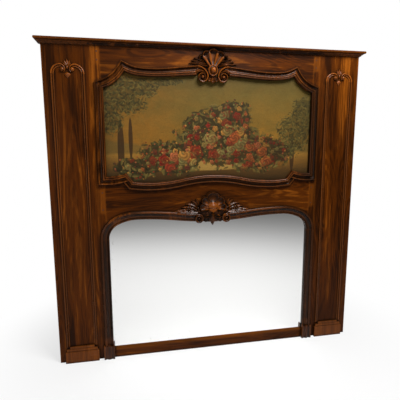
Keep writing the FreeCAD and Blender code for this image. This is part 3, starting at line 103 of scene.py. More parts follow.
def loop_mesh(rows, ring=False):
    """Vertices and faces of a row of closed sections, capped at both ends or joined in a ring."""
    rows = np.asarray(rows, dtype=float)
    count, size = rows.shape[:2]
    faces = []
    for row in range(count if ring else count - 1):
        low, high = row * size, (row + 1) % count * size
        for column in range(size):
            after = (column + 1) % size
            faces.append((low + column, low + after, high + after, high + column))
    if not ring:
        faces += [tuple(range(size - 1, -1, -1)), tuple(range((count - 1) * size, count * size))]
    return rows.reshape(-1, 3), faces


def polar_relief(centre, angles, shares, outline, rise):
    """A relief over rays around a centre, with a wall down to the face and a flat back."""
    angles = np.radians(np.asarray(angles, dtype=float))
    shares = np.asarray(shares, dtype=float)
    reach = np.array([outline(math.degrees(a)) for a in angles])
    rows = []
    for share in shares:
        height = np.array([rise(math.degrees(a), share) for a in angles])
        x = centre[0] + np.cos(angles) * reach * share
        z = centre[1] + np.sin(angles) * reach * share
        rows.append(np.stack([x, z, height], axis=-1))
    foot = rows[-1].copy()
    foot[:, 2] = 0
    rows.append(foot)
    return loop_mesh(rows)


def dome(centre, half_wide, half_tall, height, base=0.0, rings=9, spokes=28):
    """A rounded boss on an oval foot."""
    def outline(angle):
        turn = math.radians(angle)
        return 1 / math.hypot(math.cos(turn) / half_wide, math.sin(turn) / half_tall)

    def rise(angle, share):
        return base + (height - base) * math.sqrt(max(0.0, 1 - share ** 2))

    shares = np.sin(np.linspace(0.04, 1, rings) * math.pi / 2)
    return polar_relief(centre, np.linspace(0, 360, spokes, endpoint=False), shares, outline, rise)


# rounded end of a tube: how far past its path, and the radius there, as shares of the tube's radius
TUBE_END = ((0.8, 0.25), (0.4, 0.8))


def tube(path, radii, sides=12):
    """A round tube along points (x, z, proud), closed by rounded ends."""
    path = np.asarray(path, dtype=float)
    radii = np.broadcast_to(np.asarray(radii, dtype=float), (len(path),))
    ahead = np.gradient(path, axis=0)
    ahead /= np.linalg.norm(ahead, axis=1)[:, None]
    up = np.array([0, 0, 1.0])
    across = np.cross(ahead, up)
    across /= np.maximum(np.linalg.norm(across, axis=1)[:, None], 1e-6)
    above = np.cross(across, ahead)
    stations = [(path[0] - ahead[0] * radii[0] * away, share * radii[0], 0) for away, share in TUBE_END]
    stations += [(path[number], radii[number], number) for number in range(len(path))]
    stations += [(path[-1] + ahead[-1] * radii[-1] * away, share * radii[-1], -1)
                 for away, share in reversed(TUBE_END)]
    turns = np.linspace(0, 2 * math.pi, sides, endpoint=False)
    return loop_mesh([[centre + (across[number] * math.cos(t) + above[number] * math.sin(t)) * radius
                       for t in turns] for centre, radius, number in stations])


def leaf(root, tip, width, height, base=0.0, serration=0.16, teeth=4, bend=0.0):
    """A carved leaf from root to tip: a folded blade with a toothed edge and a midrib."""
    root, tip = np.array(root, dtype=float), np.array(tip, dtype=float)
    along = tip - root
    length = np.linalg.norm(along)
    along /= length
    side = np.array([-along[1], along[0]])
    ts = np.linspace(0, 1, 26)
    ss = np.linspace(-1, 1, 15)
    rows = []
    for t in ts:
        belly = width * (math.sin(math.pi * min(1, t * 0.93 + 0.07) ** 0.75)) ** 0.8
        tooth = 1 + serration * (abs((t * teeth) % 1 - 0.5) * 2 - 0.5)
        middle = root + along * length * t + side * bend * math.sin(math.pi * t)
        row = []
        for s in ss:
            place = middle + side * s * belly * tooth + along * abs(s) * -0.06 * length
            fold = 1 - abs(s) ** 1.6
            rib = 0.22 * math.exp(-(s / 0.14) ** 2)
            lift = base + height * (0.25 + 0.75 * fold + rib) * (1 - 0.55 * t)
            row.append((place[0], place[1], lift))
        rows.append(row)
    top = np.array(rows)
    left_wall, right_wall = top[:, :1].copy(), top[:, -1:].copy()
    left_wall[..., 2] = right_wall[..., 2] = 0
    return loop_mesh(np.concatenate([left_wall, top, right_wall], axis=1))


def flower(centre, radius, height, petals=6, turn=0.0):
    """A rosette: cupped petals around a ball."""
    def outline(angle):
        return radius * (0.8 + 0.2 * abs(math.cos(math.radians((angle - turn) * petals / 2))))

    def rise(angle, share):
        cup = math.sin(math.pi * min(1, share * 0.92 + 0.04))
        split = abs(math.cos(math.radians((angle - turn) * petals / 2))) ** 0.6
        return height * (0.3 + 0.45 * cup * split + 0.1 * split)

    body = polar_relief(centre, np.linspace(0, 360, petals * 10, endpoint=False),
                        np.linspace(0.06, 1, 12), outline, rise)
    eye = radius * 0.28
    return [body, dome(centre, eye, eye, height * 1.05, height * 0.25)]


def ring(centre, radius, thickness, proud, squash=1.0):
    """A closed round moulding, lying on the face."""
    turns = np.linspace(0, 2 * math.pi, 40, endpoint=False)
    rows = []
    for t in turns:
        way = np.array([math.cos(t), math.sin(t) * squash])
        row = []
        for u in np.linspace(0, 2 * math.pi, 12, endpoint=False):
            place = np.array(centre) + way * (radius + thickness * math.cos(u))
            row.append((place[0], place[1], proud + thickness * math.sin(u)))
        rows.append(row)
    return loop_mesh(rows, ring=True)


SHARP_ANGLE = 38        # degrees between faces from which an edge is drawn sharp


def make_piece(name, meshes, material, replaced):
    """One object from several closed meshes; it rides on the body and stands for CAD nodes."""
    points, faces, offset = [], [], 0
    for mesh_points, mesh_faces in meshes:
        points.append(to_world(mesh_points))
        faces += [tuple(number + offset for number in face) for face in mesh_faces]
        offset += len(mesh_points)
    mesh = bpy.data.meshes.new(name)
    mesh.from_pydata(np.concatenate(points).tolist(), [], faces)
    mesh.validate()
    fix_normals(mesh)
    mesh.polygons.foreach_set("use_smooth", [True] * len(mesh.polygons))
    mesh.set_sharp_from_angle(angle=math.radians(SHARP_ANGLE))
    mesh.materials.append(material)
    piece = bpy.data.objects.new(name, mesh)
    bpy.context.scene.collection.objects.link(piece)
    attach(piece, "root")
    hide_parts(*replaced)


def fix_normals(mesh):
    """Turns the faces of each closed part outwards."""
    body = bmesh.new()
    body.from_mesh(mesh)
    bmesh.ops.recalc_face_normals(body, faces=body.faces)
    body.to_mesh(mesh)
    body.free()


# ---------------------------------------------------------------- lines and mouldings


def heading_vector(angle):
    return np.array([math.cos(math.radians(angle)), math.sin(math.radians(angle))])


def sample_arc(start, heading, end, step):
    """Points of the arc from start to end that leaves at a heading, without its first point."""
    chord = end - start
    bearing = math.degrees(math.atan2(chord[1], chord[0]))
    half = (bearing - heading + 180) % 360 - 180
    length = np.linalg.norm(chord)
    count = max(1, int(math.ceil(length / step)))
    if abs(half) < 0.02:
        return [start + chord * number / count for number in range(1, count + 1)], heading
    radius = length / 2 / math.sin(math.radians(half))
    centre = start + heading_vector(heading + 90) * radius
    points = []
    for number in range(1, count + 1):
        turned = heading - 90 + 2 * half * number / count
        points.append(centre + heading_vector(turned) * radius)
    return points, heading + 2 * half


def smooth_line(nodes, step=6.0):
    """A row of points through nodes (x, z, heading), two tangent arcs for each stretch."""
    points = [np.array(nodes[0][:2], dtype=float)]
    for (x0, z0, h0), (x1, z1, h1) in zip(nodes, nodes[1:]):
        start, end = np.array([x0, z0], dtype=float), np.array([x1, z1], dtype=float)
        first, last = heading_vector(h0), heading_vector(h1)
        chord = end - start
        square = 2 * (1 - first @ last)
        reach = chord @ (first + last)
        if square < 1e-9:
            handle = (chord @ chord) / (4 * (chord @ last))
        else:
            handle = (-reach + math.sqrt(reach ** 2 + square * (chord @ chord))) / square
        joint = (start + end + (first - last) * handle) / 2
        one, heading = sample_arc(start, h0, joint, step)
        two, _ = sample_arc(joint, heading, end, step)
        points += one + two
    return points


def sections_along(points, widths, profile):
    """Sections of a moulding in the mitre planes of a line; outside is on the left of it."""
    points = np.array(points)
    runs = np.diff(points, axis=0)
    runs /= np.linalg.norm(runs, axis=1)[:, None]
    before = np.vstack([runs[:1], runs])
    after = np.vstack([runs, runs[-1:]])
    mean = before + after
    mean /= np.linalg.norm(mean, axis=1)[:, None]
    normal = np.stack([-mean[:, 1], mean[:, 0]], axis=-1)
    stretch = 1 / np.einsum("ij,ij->i", mean, after)
    rows = []
    for number, point in enumerate(points):
        row = []
        for across, proud in profile(widths[number]):
            place = point + normal[number] * across * stretch[number]
            row.append((place[0], place[1], proud))
        rows.append(row)
    return np.array(rows)


def mirrored(mesh):
    """The same mesh on the other side."""
    points, faces = mesh
    points = np.array(points, dtype=float)
    points[:, 0] = -points[:, 0]
    return points, faces


def bead(start, end, rise, steps=7):
    """Points of a rounded bead from one foot to the other, both ends included."""
    row = []
    for turn in np.linspace(0, math.pi, steps):
        share = (1 - math.cos(turn)) / 2
        foot = start[1] + (end[1] - start[1]) * share
        row.append((start[0] + (end[0] - start[0]) * share, foot + rise * math.sin(turn) ** 0.9))
    return row


def cove(start, end, sink, steps=7):
    """Points of a hollow from one edge to the other, without its ends."""
    row = []
    for share in np.linspace(0, 1, steps)[1:-1]:
        line = start[1] + (end[1] - start[1]) * share
        row.append((start[0] + (end[0] - start[0]) * share, line - sink * math.sin(math.pi * share)))
    return row


def lip_points(width):
    """Seat on the board and lip over the opening, from the outer edge to the inner."""
    lip = min(11, width / 3)
    return [(width, 0), (lip, 0), (lip, -LIP), (0, -LIP)]


def painting_profile(width, outer=None):
    """Two beads, a hollow and an outer bead, which may keep its own width where the rest narrows."""
    outer = width * 7 / 38 if outer is None else outer
    k = (width - outer) / 31
    h = min(1.0, 0.5 + 0.5 * k)
    row = bead((0, 4.5), (8.2 * k, 11 * h), 6.2 * h)
    row += [(8.6 * k, 12.6 * h)]
    row += bead((9.4 * k, 12.6 * h), (16.2 * k, 12 * h), 4.4 * h)
    row += [(16.4 * k, 8.2 * h)]
    row += cove((16.4 * k, 8.2 * h), (30.2 * k, 8 * h), 4.8 * h)
    row += [(30.2 * k, 8 * h)]
    row += bead((31 * k, 7.5), (width, 6.5), 6.5)
    return row + lip_points(width)


def mirror_profile(width):
    """A bead, a shallow hollow and a broad outer bead."""
    k = width / 41
    row = bead((0, 3), (7 * k, 5), 5)
    row += [(8.4 * k, 2.6)]
    row += [(9.2 * k, 3.4)]
    row += cove((9.2 * k, 3.4), (26 * k, 9.6), 1.8)
    row += [(26 * k, 9.6), (27.4 * k, 9.0)]
    row += bead((28.4 * k, 9.2), (41 * k, 7), 6.2, steps=9)
    return row + lip_points(width)


def pilaster_profile(width):
    """A bead, a narrow hollow and a lower bead, flat at the back."""
    k = width / 15
    row = bead((0, 2.5), (7.4 * k, 3.5), 4.6)
    row += [(8 * k, 2.2)]
    row += cove((8 * k, 2.2), (10.2 * k, 2.4), 0.8, steps=4)
    row += bead((10.2 * k, 2), (15 * k, 1.6), 2.6, steps=6)
    return [(0, 0)] + row + [(width, 0)]


def inner_line_of_painting():
    """Stretches of the painting's inner line, left half, from the bottom centre to the crest.

    Each has its node and its points (x, z, heading in degrees). At both ends an ear's curve
    leaves its chord by a bow, also in degrees.
    """
    low, high = (-SIGHT_HALF, 897), (-SIGHT_HALF, 1290)
    horn, step = (-409, 912), (-378, 872)
    top_horn = (-404, 1363)

    def towards(one, two):
        return math.degrees(math.atan2(two[1] - one[1], two[0] - one[0])) % 360

    low_chord, low_bow = towards(horn, low), 11
    high_chord, high_bow = towards(high, top_horn), 19.5
    return [
        ("painting_moulding_bottom", [(0, 898, 180), (-300, 866, 180), (*step, 173)]),
        ("painting_moulding_step", [(*step, towards(step, horn)), (*horn, towards(step, horn))]),
        ("painting_moulding_low_ear", [(*horn, low_chord + low_bow), (*low, low_chord - low_bow)]),
        ("painting_moulding_side", [(*low, 90), (*high, 90)]),
        ("painting_moulding_ear", [(*high, high_chord - high_bow), (*top_horn, high_chord + high_bow)]),
        ("painting_moulding_top", [(*top_horn, -26), (-290, 1343.5, 0),
                                   (-CREST_END[0], CREST_END[1], CREST_END_HEADING)]),
    ]


def make_painting_frame(material):
    """The mitred lengths around the painting, both halves."""
    line, spans = [], []
    for name, nodes in inner_line_of_painting():
        step = 30.0 if name in ("painting_moulding_side", "painting_moulding_step") else 6.0
        points = smooth_line(nodes, step)
        first = max(0, len(line) - 1)
        line += points if not line else points[1:]
        spans.append((name, first, len(line)))
    xs = np.abs(np.array(line)[:, 0])
    top = np.array([point[1] > 1330 for point in line])
    widen = np.clip((260 - xs) / 180, 0, 1) ** 1.3 * (CREST_END_WIDTH - PAINTING_WIDTH)
    widths = PAINTING_WIDTH + np.where(top, widen, 0)
    rows = sections_along(line, widths, painting_profile)
    for name, first, last in spans:
        left = loop_mesh(rows[first:last])
        if name == "painting_moulding_bottom":
            make_piece(name + "_carved", [left, mirrored(left)], material, [name])
            continue
        for side in (LEFT, RIGHT):
            node = name + "_" + SIDE_NAME[side]
            mesh = left if side == LEFT else mirrored(left)
            make_piece(node + "_carved", [mesh], material, [node])


def make_mirror_frame(material):
    """Straight sides and arches of the mirror's moulding."""
    side_line = smooth_line([(-SIGHT_HALF, MIRROR_FOOT, 90), (-SIGHT_HALF, SHOULDER, 90)], 60)
    arch = smooth_line([(-SIGHT_HALF, SHOULDER, 90), (-CROWN[0], CROWN[1], 0), (0, SADDLE, 0)], 7)
    arch = [point for point in arch if point[0] < -CARTOUCHE_VOLUTE[0] + 6]
    line = side_line + arch[1:]
    rows = sections_along(line, [MIRROR_WIDTH] * len(line), mirror_profile)
    cut = len(side_line)
    for side in (LEFT, RIGHT):
        for name, part in (("mirror_moulding_side", rows[:cut]), ("mirror_moulding_arch", rows[cut - 1:])):
            node = name + "_" + SIDE_NAME[side]
            mesh = loop_mesh(part)
            mesh = mesh if side == LEFT else mirrored(mesh)
            make_piece(node + "_carved", [mesh], material, [node])


# ---------------------------------------------------------------- carvings


def through(pairs, value):
    """A smooth curve through pairs of numbers."""
    place = 1
    while place < len(pairs) - 1 and value > pairs[place][0]:
        place += 1
    (x0, y0), (x1, y1) = pairs[place - 1], pairs[place]
    before = pairs[max(0, place - 2)]
    after = pairs[min(len(pairs) - 1, place + 1)]
    slope_in = (y1 - before[1]) / (x1 - before[0])
    slope_out = (after[1] - y0) / (after[0] - x0)
    t = (value - x0) / (x1 - x0)
    gap = x1 - x0
    bent = (2 * t ** 3 - 3 * t ** 2 + 1) * y0 + (t ** 3 - 2 * t ** 2 + t) * gap * slope_in
    return bent + (3 * t ** 2 - 2 * t ** 3) * y1 + (t ** 3 - t ** 2) * gap * slope_out


def scroll(centre, start_angle, outer, inner, lag, profile, lift, eye, height, count=110):
    """A moulding that coils clockwise around an eye, drawn for the left side.

    outer and inner are pairs (turn, radius) of its two edges. At its start the inner edge lies
    behind the outer one by an angle, lag, that dies away.
    """
    rows = []
    for turn in np.linspace(0, outer[-1][0], count):
        far = np.array(centre) + heading_vector(start_angle - turn) * through(outer, turn)
        near_angle = start_angle - turn + lag * math.exp(-turn / 30)
        near = np.array(centre) + heading_vector(near_angle) * through(inner, turn)
        span = far - near
        width = np.linalg.norm(span)
        row = []
        for across, proud in profile(width):
            place = near + span * across / width
            row.append((place[0], place[1], proud * lift(turn)))
        rows.append(row)
    disc = through(outer, 330) - 1
    meshes = [loop_mesh(rows)]
    meshes.append(dome(centre, disc, disc, 7, 5))
    meshes.append(dome(centre, eye, eye, height, 5))
    return meshes


def make_crest_volute(side, material):
    """The painting's top moulding runs on into a scroll beside the shell."""
    centre = np.array([-VOLUTE[0], VOLUTE[1]])
    near = np.array([-CREST_END[0], CREST_END[1]]) - centre
    far = near + heading_vector(90 + CREST_END_HEADING) * CREST_END_WIDTH
    start = math.degrees(math.atan2(far[1], far[0]))
    lag = math.degrees(math.atan2(near[1], near[0])) - start
    outer = [(0, np.linalg.norm(far)), (18, 51.5), (43, 40.5), (78, 32), (129, 27.8),
             (213, 23.8), (303, 22.3), (393, 18.4), (483, 14), (560, 11)]
    inner = [(0, np.linalg.norm(near)), (18, 26), (43, 21.8), (78, 17.4), (129, 13.8),
             (213, 11.8), (303, 11.2), (393, 9.6), (483, 8.4), (560, 7.6)]

    def profile(width):
        row = painting_profile(width, max(width * 7 / 38, min(7.5, 0.55 * width)))[:-4]
        return [(0, 0)] + row + [(width, 0)]

    def lift(turn):
        return 1 + 0.32 * min(1.0, turn / 150) - 0.0003 * turn

    meshes = scroll(centre, start, outer, inner, lag, profile, lift, 8.5, 21)
    if side == RIGHT:
        meshes = [mirrored(mesh) for mesh in meshes]
    node = "crest_volute_" + SIDE_NAME[side]
    make_piece(node + "_carved", meshes, material, [node])


def fan(focus, edges, upright, sideways, heights, foot=16.0, dip=0.3, bulge=0.0, depth=0.12, crease=1.0):
    """A scallop shell: lobes between the given angles, hollow towards a rolled rim.

    heights are those of the hub, the hollow, the ridges between lobes and the rim. The floor of a
    lobe falls from the hub to the hollow over a share, dip, of its length, and may bulge before it.
    """
    hub, hollow, ridge, rim = heights
    first, last = edges[0], edges[-1]

    def swell(angle):
        for low, high in zip(edges, edges[1:]):
            if low <= angle <= high:
                return math.sin(math.pi * (angle - low) / (high - low))
        return 0.0

    def outline(angle):
        if angle < first or angle > last:
            return foot
        way = heading_vector(angle)
        oval = 1 / math.hypot(way[0] / sideways, way[1] / upright)
        return oval * (1 - depth + depth * max(0.0, swell(angle)) ** 0.75)

    def rise(angle, share):
        if angle < first or angle > last:
            return hub
        wave = max(0.0, swell(angle))
        fall = min(1.0, share / dip)
        fall = fall * fall * (3 - 2 * fall)
        floor = hub + (hollow - hub) * fall + bulge * wave * (1 - fall)
        crest = hub * crease + (ridge - hub * crease) * share
        sharp = min(1.0, share / 0.55)
        height = crest + (floor - crest) * (1 - sharp + sharp * wave ** 0.5)
        height += (rim - height) * math.exp(-((share - 0.945) / 0.04) ** 2)
        return rim * 0.8 if share > 0.985 else height

    inside = np.concatenate([np.linspace(low, high, 15)[:-1] for low, high in zip(edges, edges[1:])])
    outside = np.linspace(last + 3, first + 357, 14)
    shares = np.concatenate([np.linspace(0.08, 0.84, 15), np.linspace(0.87, 1, 9)])
    return polar_relief(focus, np.concatenate([inside, [last], outside]), shares, outline, rise)


def rib(focus, angle, start, end, low, high, start_width, end_width):
    """A rounded rib along a ray of a shell."""
    way = heading_vector(angle)
    steps = np.linspace(0, 1, 16)
    points, radii = [], []
    for t in steps:
        reach = start + (end - start) * t
        points.append((focus[0] + way[0] * reach, focus[1] + way[1] * reach, low + (high - low) * t ** 1.3))
        radii.append((start_width + (end_width - start_width) * t ** 0.9)
                     * (1 - 0.5 * max(0, t - 0.85) / 0.15))
    return tube(points, radii)


def leaves_beside(side, table, bend=0, **shape):
    """Leaves on one side of the middle: root x and z, tip x and z, width, height, base."""
    return [leaf((side * x0, z0), (side * x1, z1), width, height, base=base, bend=side * bend, **shape)
            for x0, z0, x1, z1, width, height, base in table]


CREST_LEAVES = (
    (30, 1402, 118, 1409, 7.5, 7.5, 1.5), (34, 1408, 104, 1421, 8.5, 9.5, 1.5),
    (38, 1416, 92, 1433, 8.5, 11, 1.5),
)


def make_crest_shell(material):
    """Shell, pearl, lower fan and side leaves of the crest."""
    edges = (35, 50, 75, 105, 130, 145)
    focus = (PEARL[0], PEARL[1] + 2)
    meshes = [fan(focus, edges, 94, 88, (11, 5, 13, 25), foot=22, dip=0.45, depth=0.1)]
    for angle, reach in ((50, 80), (75, 83), (105, 83), (130, 80)):
        meshes.append(rib(focus, angle, 20, reach, 11, 16.5, 3.2, 6.8))
    # pearl in its dark ring
    meshes.append(dome(PEARL, 24, 27, 13, 8))
    meshes.append(ring(PEARL, 20, 2.4, 13, 1.14))
    meshes.append(dome(PEARL, 14.5, 17, 29.6, 8, rings=12, spokes=36))
    # small fan that hangs between the scrolls
    meshes.append(fan((0, 1370), (230, 256, 284, 310), 46, 41, (9, 5, 12, 17),
                      foot=14, dip=0.4, depth=0.12))
    for side in (LEFT, RIGHT):
        meshes += leaves_beside(side, CREST_LEAVES, bend=3, serration=0.08, teeth=3)
    make_piece("crest_shell_carved", meshes, material, ["crest_shell"])


CARTOUCHE_LEAVES = (
    (60, 722, 90, 712, 8, 9, 6), (60, 728, 84, 742, 8, 10, 6), (22, 700, 44, 690, 6, 8, 6),
    (14, 724, 34, 734, 6, 9, 6),
)


def make_cartouche(material):
    """Carving over the mirror: shell, florets, scrolls and pendant."""
    x, z = CARTOUCHE
    edges = (-14, 22, 58, 122, 158, 194)
    meshes = [fan((x, z - 16), edges, 79, 69, (21, 6, 13, 24), foot=20, dip=0.62, bulge=4, depth=0.14,
                  crease=0.8)]
    meshes.append(dome((x, z - 11), 25, 18, 25.5, 8, rings=12, spokes=40))
    # ground between the scrolls
    def ground(angle):
        way = heading_vector(angle)
        tall = 30 if way[1] > 0 else 50
        return 1 / (abs(way[0] / 76) ** 2.6 + abs(way[1] / tall) ** 2.6) ** (1 / 2.6)

    meshes.append(polar_relief((0, 715), np.linspace(0, 360, 72, endpoint=False), np.linspace(0.1, 1, 8),
                               ground, lambda angle, share: 8.5 - 3.5 * share ** 3))
    # florets under the bowl
    for place, height, radius in ((-54, 718, 9), (-29, 714, 8), (0, 713, 8), (29, 714, 8), (54, 718, 9)):
        meshes += flower((place, height), radius + 4, 13, petals=5, turn=place * 3)
        meshes.append(dome((place, height), radius * 0.55, radius * 0.55, 19, 5))
    for side in (LEFT, RIGHT):
        meshes.append(fan((side * 27, 708), (205, 235, 270, 305, 335), 24, 30, (10, 6, 13, 17),
                          foot=8, depth=0.16))
        meshes.append(fan((side * 36, 686), (200, 240, 300, 340), 20, 24, (9, 6, 11, 14),
                          foot=8, depth=0.16))
        meshes += leaves_beside(side, CARTOUCHE_LEAVES)

    outer = [(0, 24.4), (90, 24.2), (180, 23.4), (270, 21.5), (360, 17.5), (450, 13.5), (540, 10)]
    inner = [(0, 12), (90, 12), (180, 12), (270, 11.6), (360, 9.6), (450, 8), (540, 7)]

    def profile(width):
        return [(0, 0)] + bead((0, 6), (width, 6), 9, steps=9) + [(width, 0)]

    coil = scroll((-CARTOUCHE_VOLUTE[0], CARTOUCHE_VOLUTE[1]), 100, outer, inner, 0, profile,
                  lambda turn: 1.1 + 0.0005 * turn, 6.5, 20)
    meshes += coil + [mirrored(mesh) for mesh in coil]
    # pendant
    meshes.append(leaf((0, 706), (0, 645), 15, 15, base=3, serration=0.05, teeth=2))
    meshes.append(dome((0, 700), 10, 8, 14, 5))
    make_piece("cartouche_carved", meshes, material, ["cartouche_shell"])


SPRAY_LEAVES = (
    (80, 712, 192, 713, 8.5, 6, 11), (84, 706, 150, 706, 7, 5, 12), (84, 722, 184, 727, 9, 9, 3),
    (84, 730, 160, 741, 9, 9.5, 3), (80, 738, 138, 759, 9, 10, 3), (76, 742, 108, 776, 8.5, 9.5, 2),
    (72, 746, 86, 782, 8, 9, 2), (110, 716, 166, 720, 7, 8, 8), (146, 722, 198, 716, 6.5, 7, 6),
)


def make_flower_spray(side, material):
    """Leaves and flowers beside the cartouche, laid over the rail and the top of the moulding."""
    meshes = leaves_beside(side, SPRAY_LEAVES, bend=3)
    meshes += flower((side * 118, 732), 19, 20, petals=6, turn=12)
    meshes += flower((side * 90, 724), 13, 18, petals=5, turn=30)
    meshes += flower((side * 148, 722), 11, 15, petals=5, turn=5)
    node = "flower_spray_" + SIDE_NAME[side]
    make_piece(node + "_carved", meshes, material, [node])


def make_pilaster_ornament(side, moulding, carving):
    """Bead that frames the pilaster and turns over at its head into two curls."""
    strands, heads = [], []
    for half in (LEFT, RIGHT):
        foot_x = -ORNAMENT_HALF
        spring = (foot_x, SPRING)
        top = (foot_x + ARCH_RADIUS, SPRING + ARCH_RADIUS)
        legs = smooth_line([(foot_x, CAP_TOP - 1, 90), (*spring, 90)], 200)
        arc, _ = sample_arc(np.array(spring, dtype=float), 90, np.array(top, dtype=float), 4)
        hub = np.array([top[0], top[1] - CURL_RADIUS])
        curl = []
        for turn in np.linspace(0, CURL_TURN, 30)[1:]:
            curl.append(hub + heading_vector(90 - turn) * CURL_RADIUS * (1 - 0.12 * turn / CURL_TURN))
        line = legs + arc + curl
        taper = [PILASTER_BEAD] * (len(legs) + len(arc))
        taper += [PILASTER_BEAD * (1 - 0.6 * ((number + 1) / len(curl)) ** 1.3)
                  for number in range(len(curl))]
        # outside of the line is its left; the moulding lies on its right, so it is drawn reversed
        rows = sections_along(line[::-1], taper[::-1], pilaster_profile)[::-1]
        split = len(legs)
        ball = dome((hub[0] + 9, hub[1] - 1), 9.5, 9.5, 13, 1)
        for target, mesh in ((strands, loop_mesh(rows[:split])), (heads, loop_mesh(rows[split - 1:])),
                             (heads, ball)):
            mesh = mesh if half == LEFT else mirrored(mesh)
            points = np.array(mesh[0], dtype=float)
            points[:, 0] += side * PILASTER_CENTRE
            target.append((points, mesh[1]))
    word = SIDE_NAME[side]
    for half, mesh in zip(("left", "right"), strands):
        node = "pilaster_bead_%s_%s" % (word, half)
        make_piece(node + "_carved", [mesh], moulding, [node])
    centre = side * PILASTER_CENTRE
    root = SPRING + ARCH_RADIUS - 16
    for angle, length, width in ((90, 37, 5.5), (68, 35, 5), (112, 35, 5), (48, 29, 4.5), (132, 29, 4.5)):
        way = heading_vector(angle)
        heads.append(leaf((centre + way[0] * 3, root + way[1] * 3),
                          (centre + way[0] * length, root + way[1] * length), width, 5, base=1, teeth=3))
    heads.append(dome((centre, root), 5, 8, 8, 2))
    drop = SPRING - 3

    def lozenge(angle):
        way = heading_vector(angle)
        tall = 9 if way[1] > 0 else 15
        return 1 / ((abs(way[0]) / 13) ** 1.2 + (abs(way[1]) / tall) ** 1.2) ** (1 / 1.2)

    heads.append(polar_relief((centre, drop), np.linspace(0, 360, 32, endpoint=False), np.linspace(0.1, 1, 6),
                              lozenge, lambda angle, share: 8 - 6 * share ** 1.5))
    make_piece("pilaster_arch_%s_carved" % word, heads, carving,
               ["pilaster_arch_" + word])


def make_foot_block(side, material):
    """Small block under the mirror's moulding: two hollow flutes that rise to points."""
    node = "foot_block_" + SIDE_NAME[side]
    low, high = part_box(node)
    centre = (low[0] + high[0]) / 2 / MM
    half = (high[0] - low[0]) / 2 / MM
    top = high[2] / MM
    back = 0.0
    front = FACE_Y - low[1] / MM
    columns = []
    for share in np.linspace(-1, 1, 41):
        ridge = abs(math.cos(math.pi * share)) ** 1.5
        x = centre + share * half
        crown = top - 8 * (1 - ridge) - 1.5
        proud = front - 4.5 * (1 - ridge)
        columns.append([(x, 0, back), (x, 0, proud - 2), (x, 3, proud), (x, crown - 5, proud),
                        (x, crown - 1, proud - 1.2), (x, crown, proud - 4), (x, crown, back)])
    make_piece(node + "_carved", [loop_mesh(columns)], material, [node])


# ---------------------------------------------------------------- materials


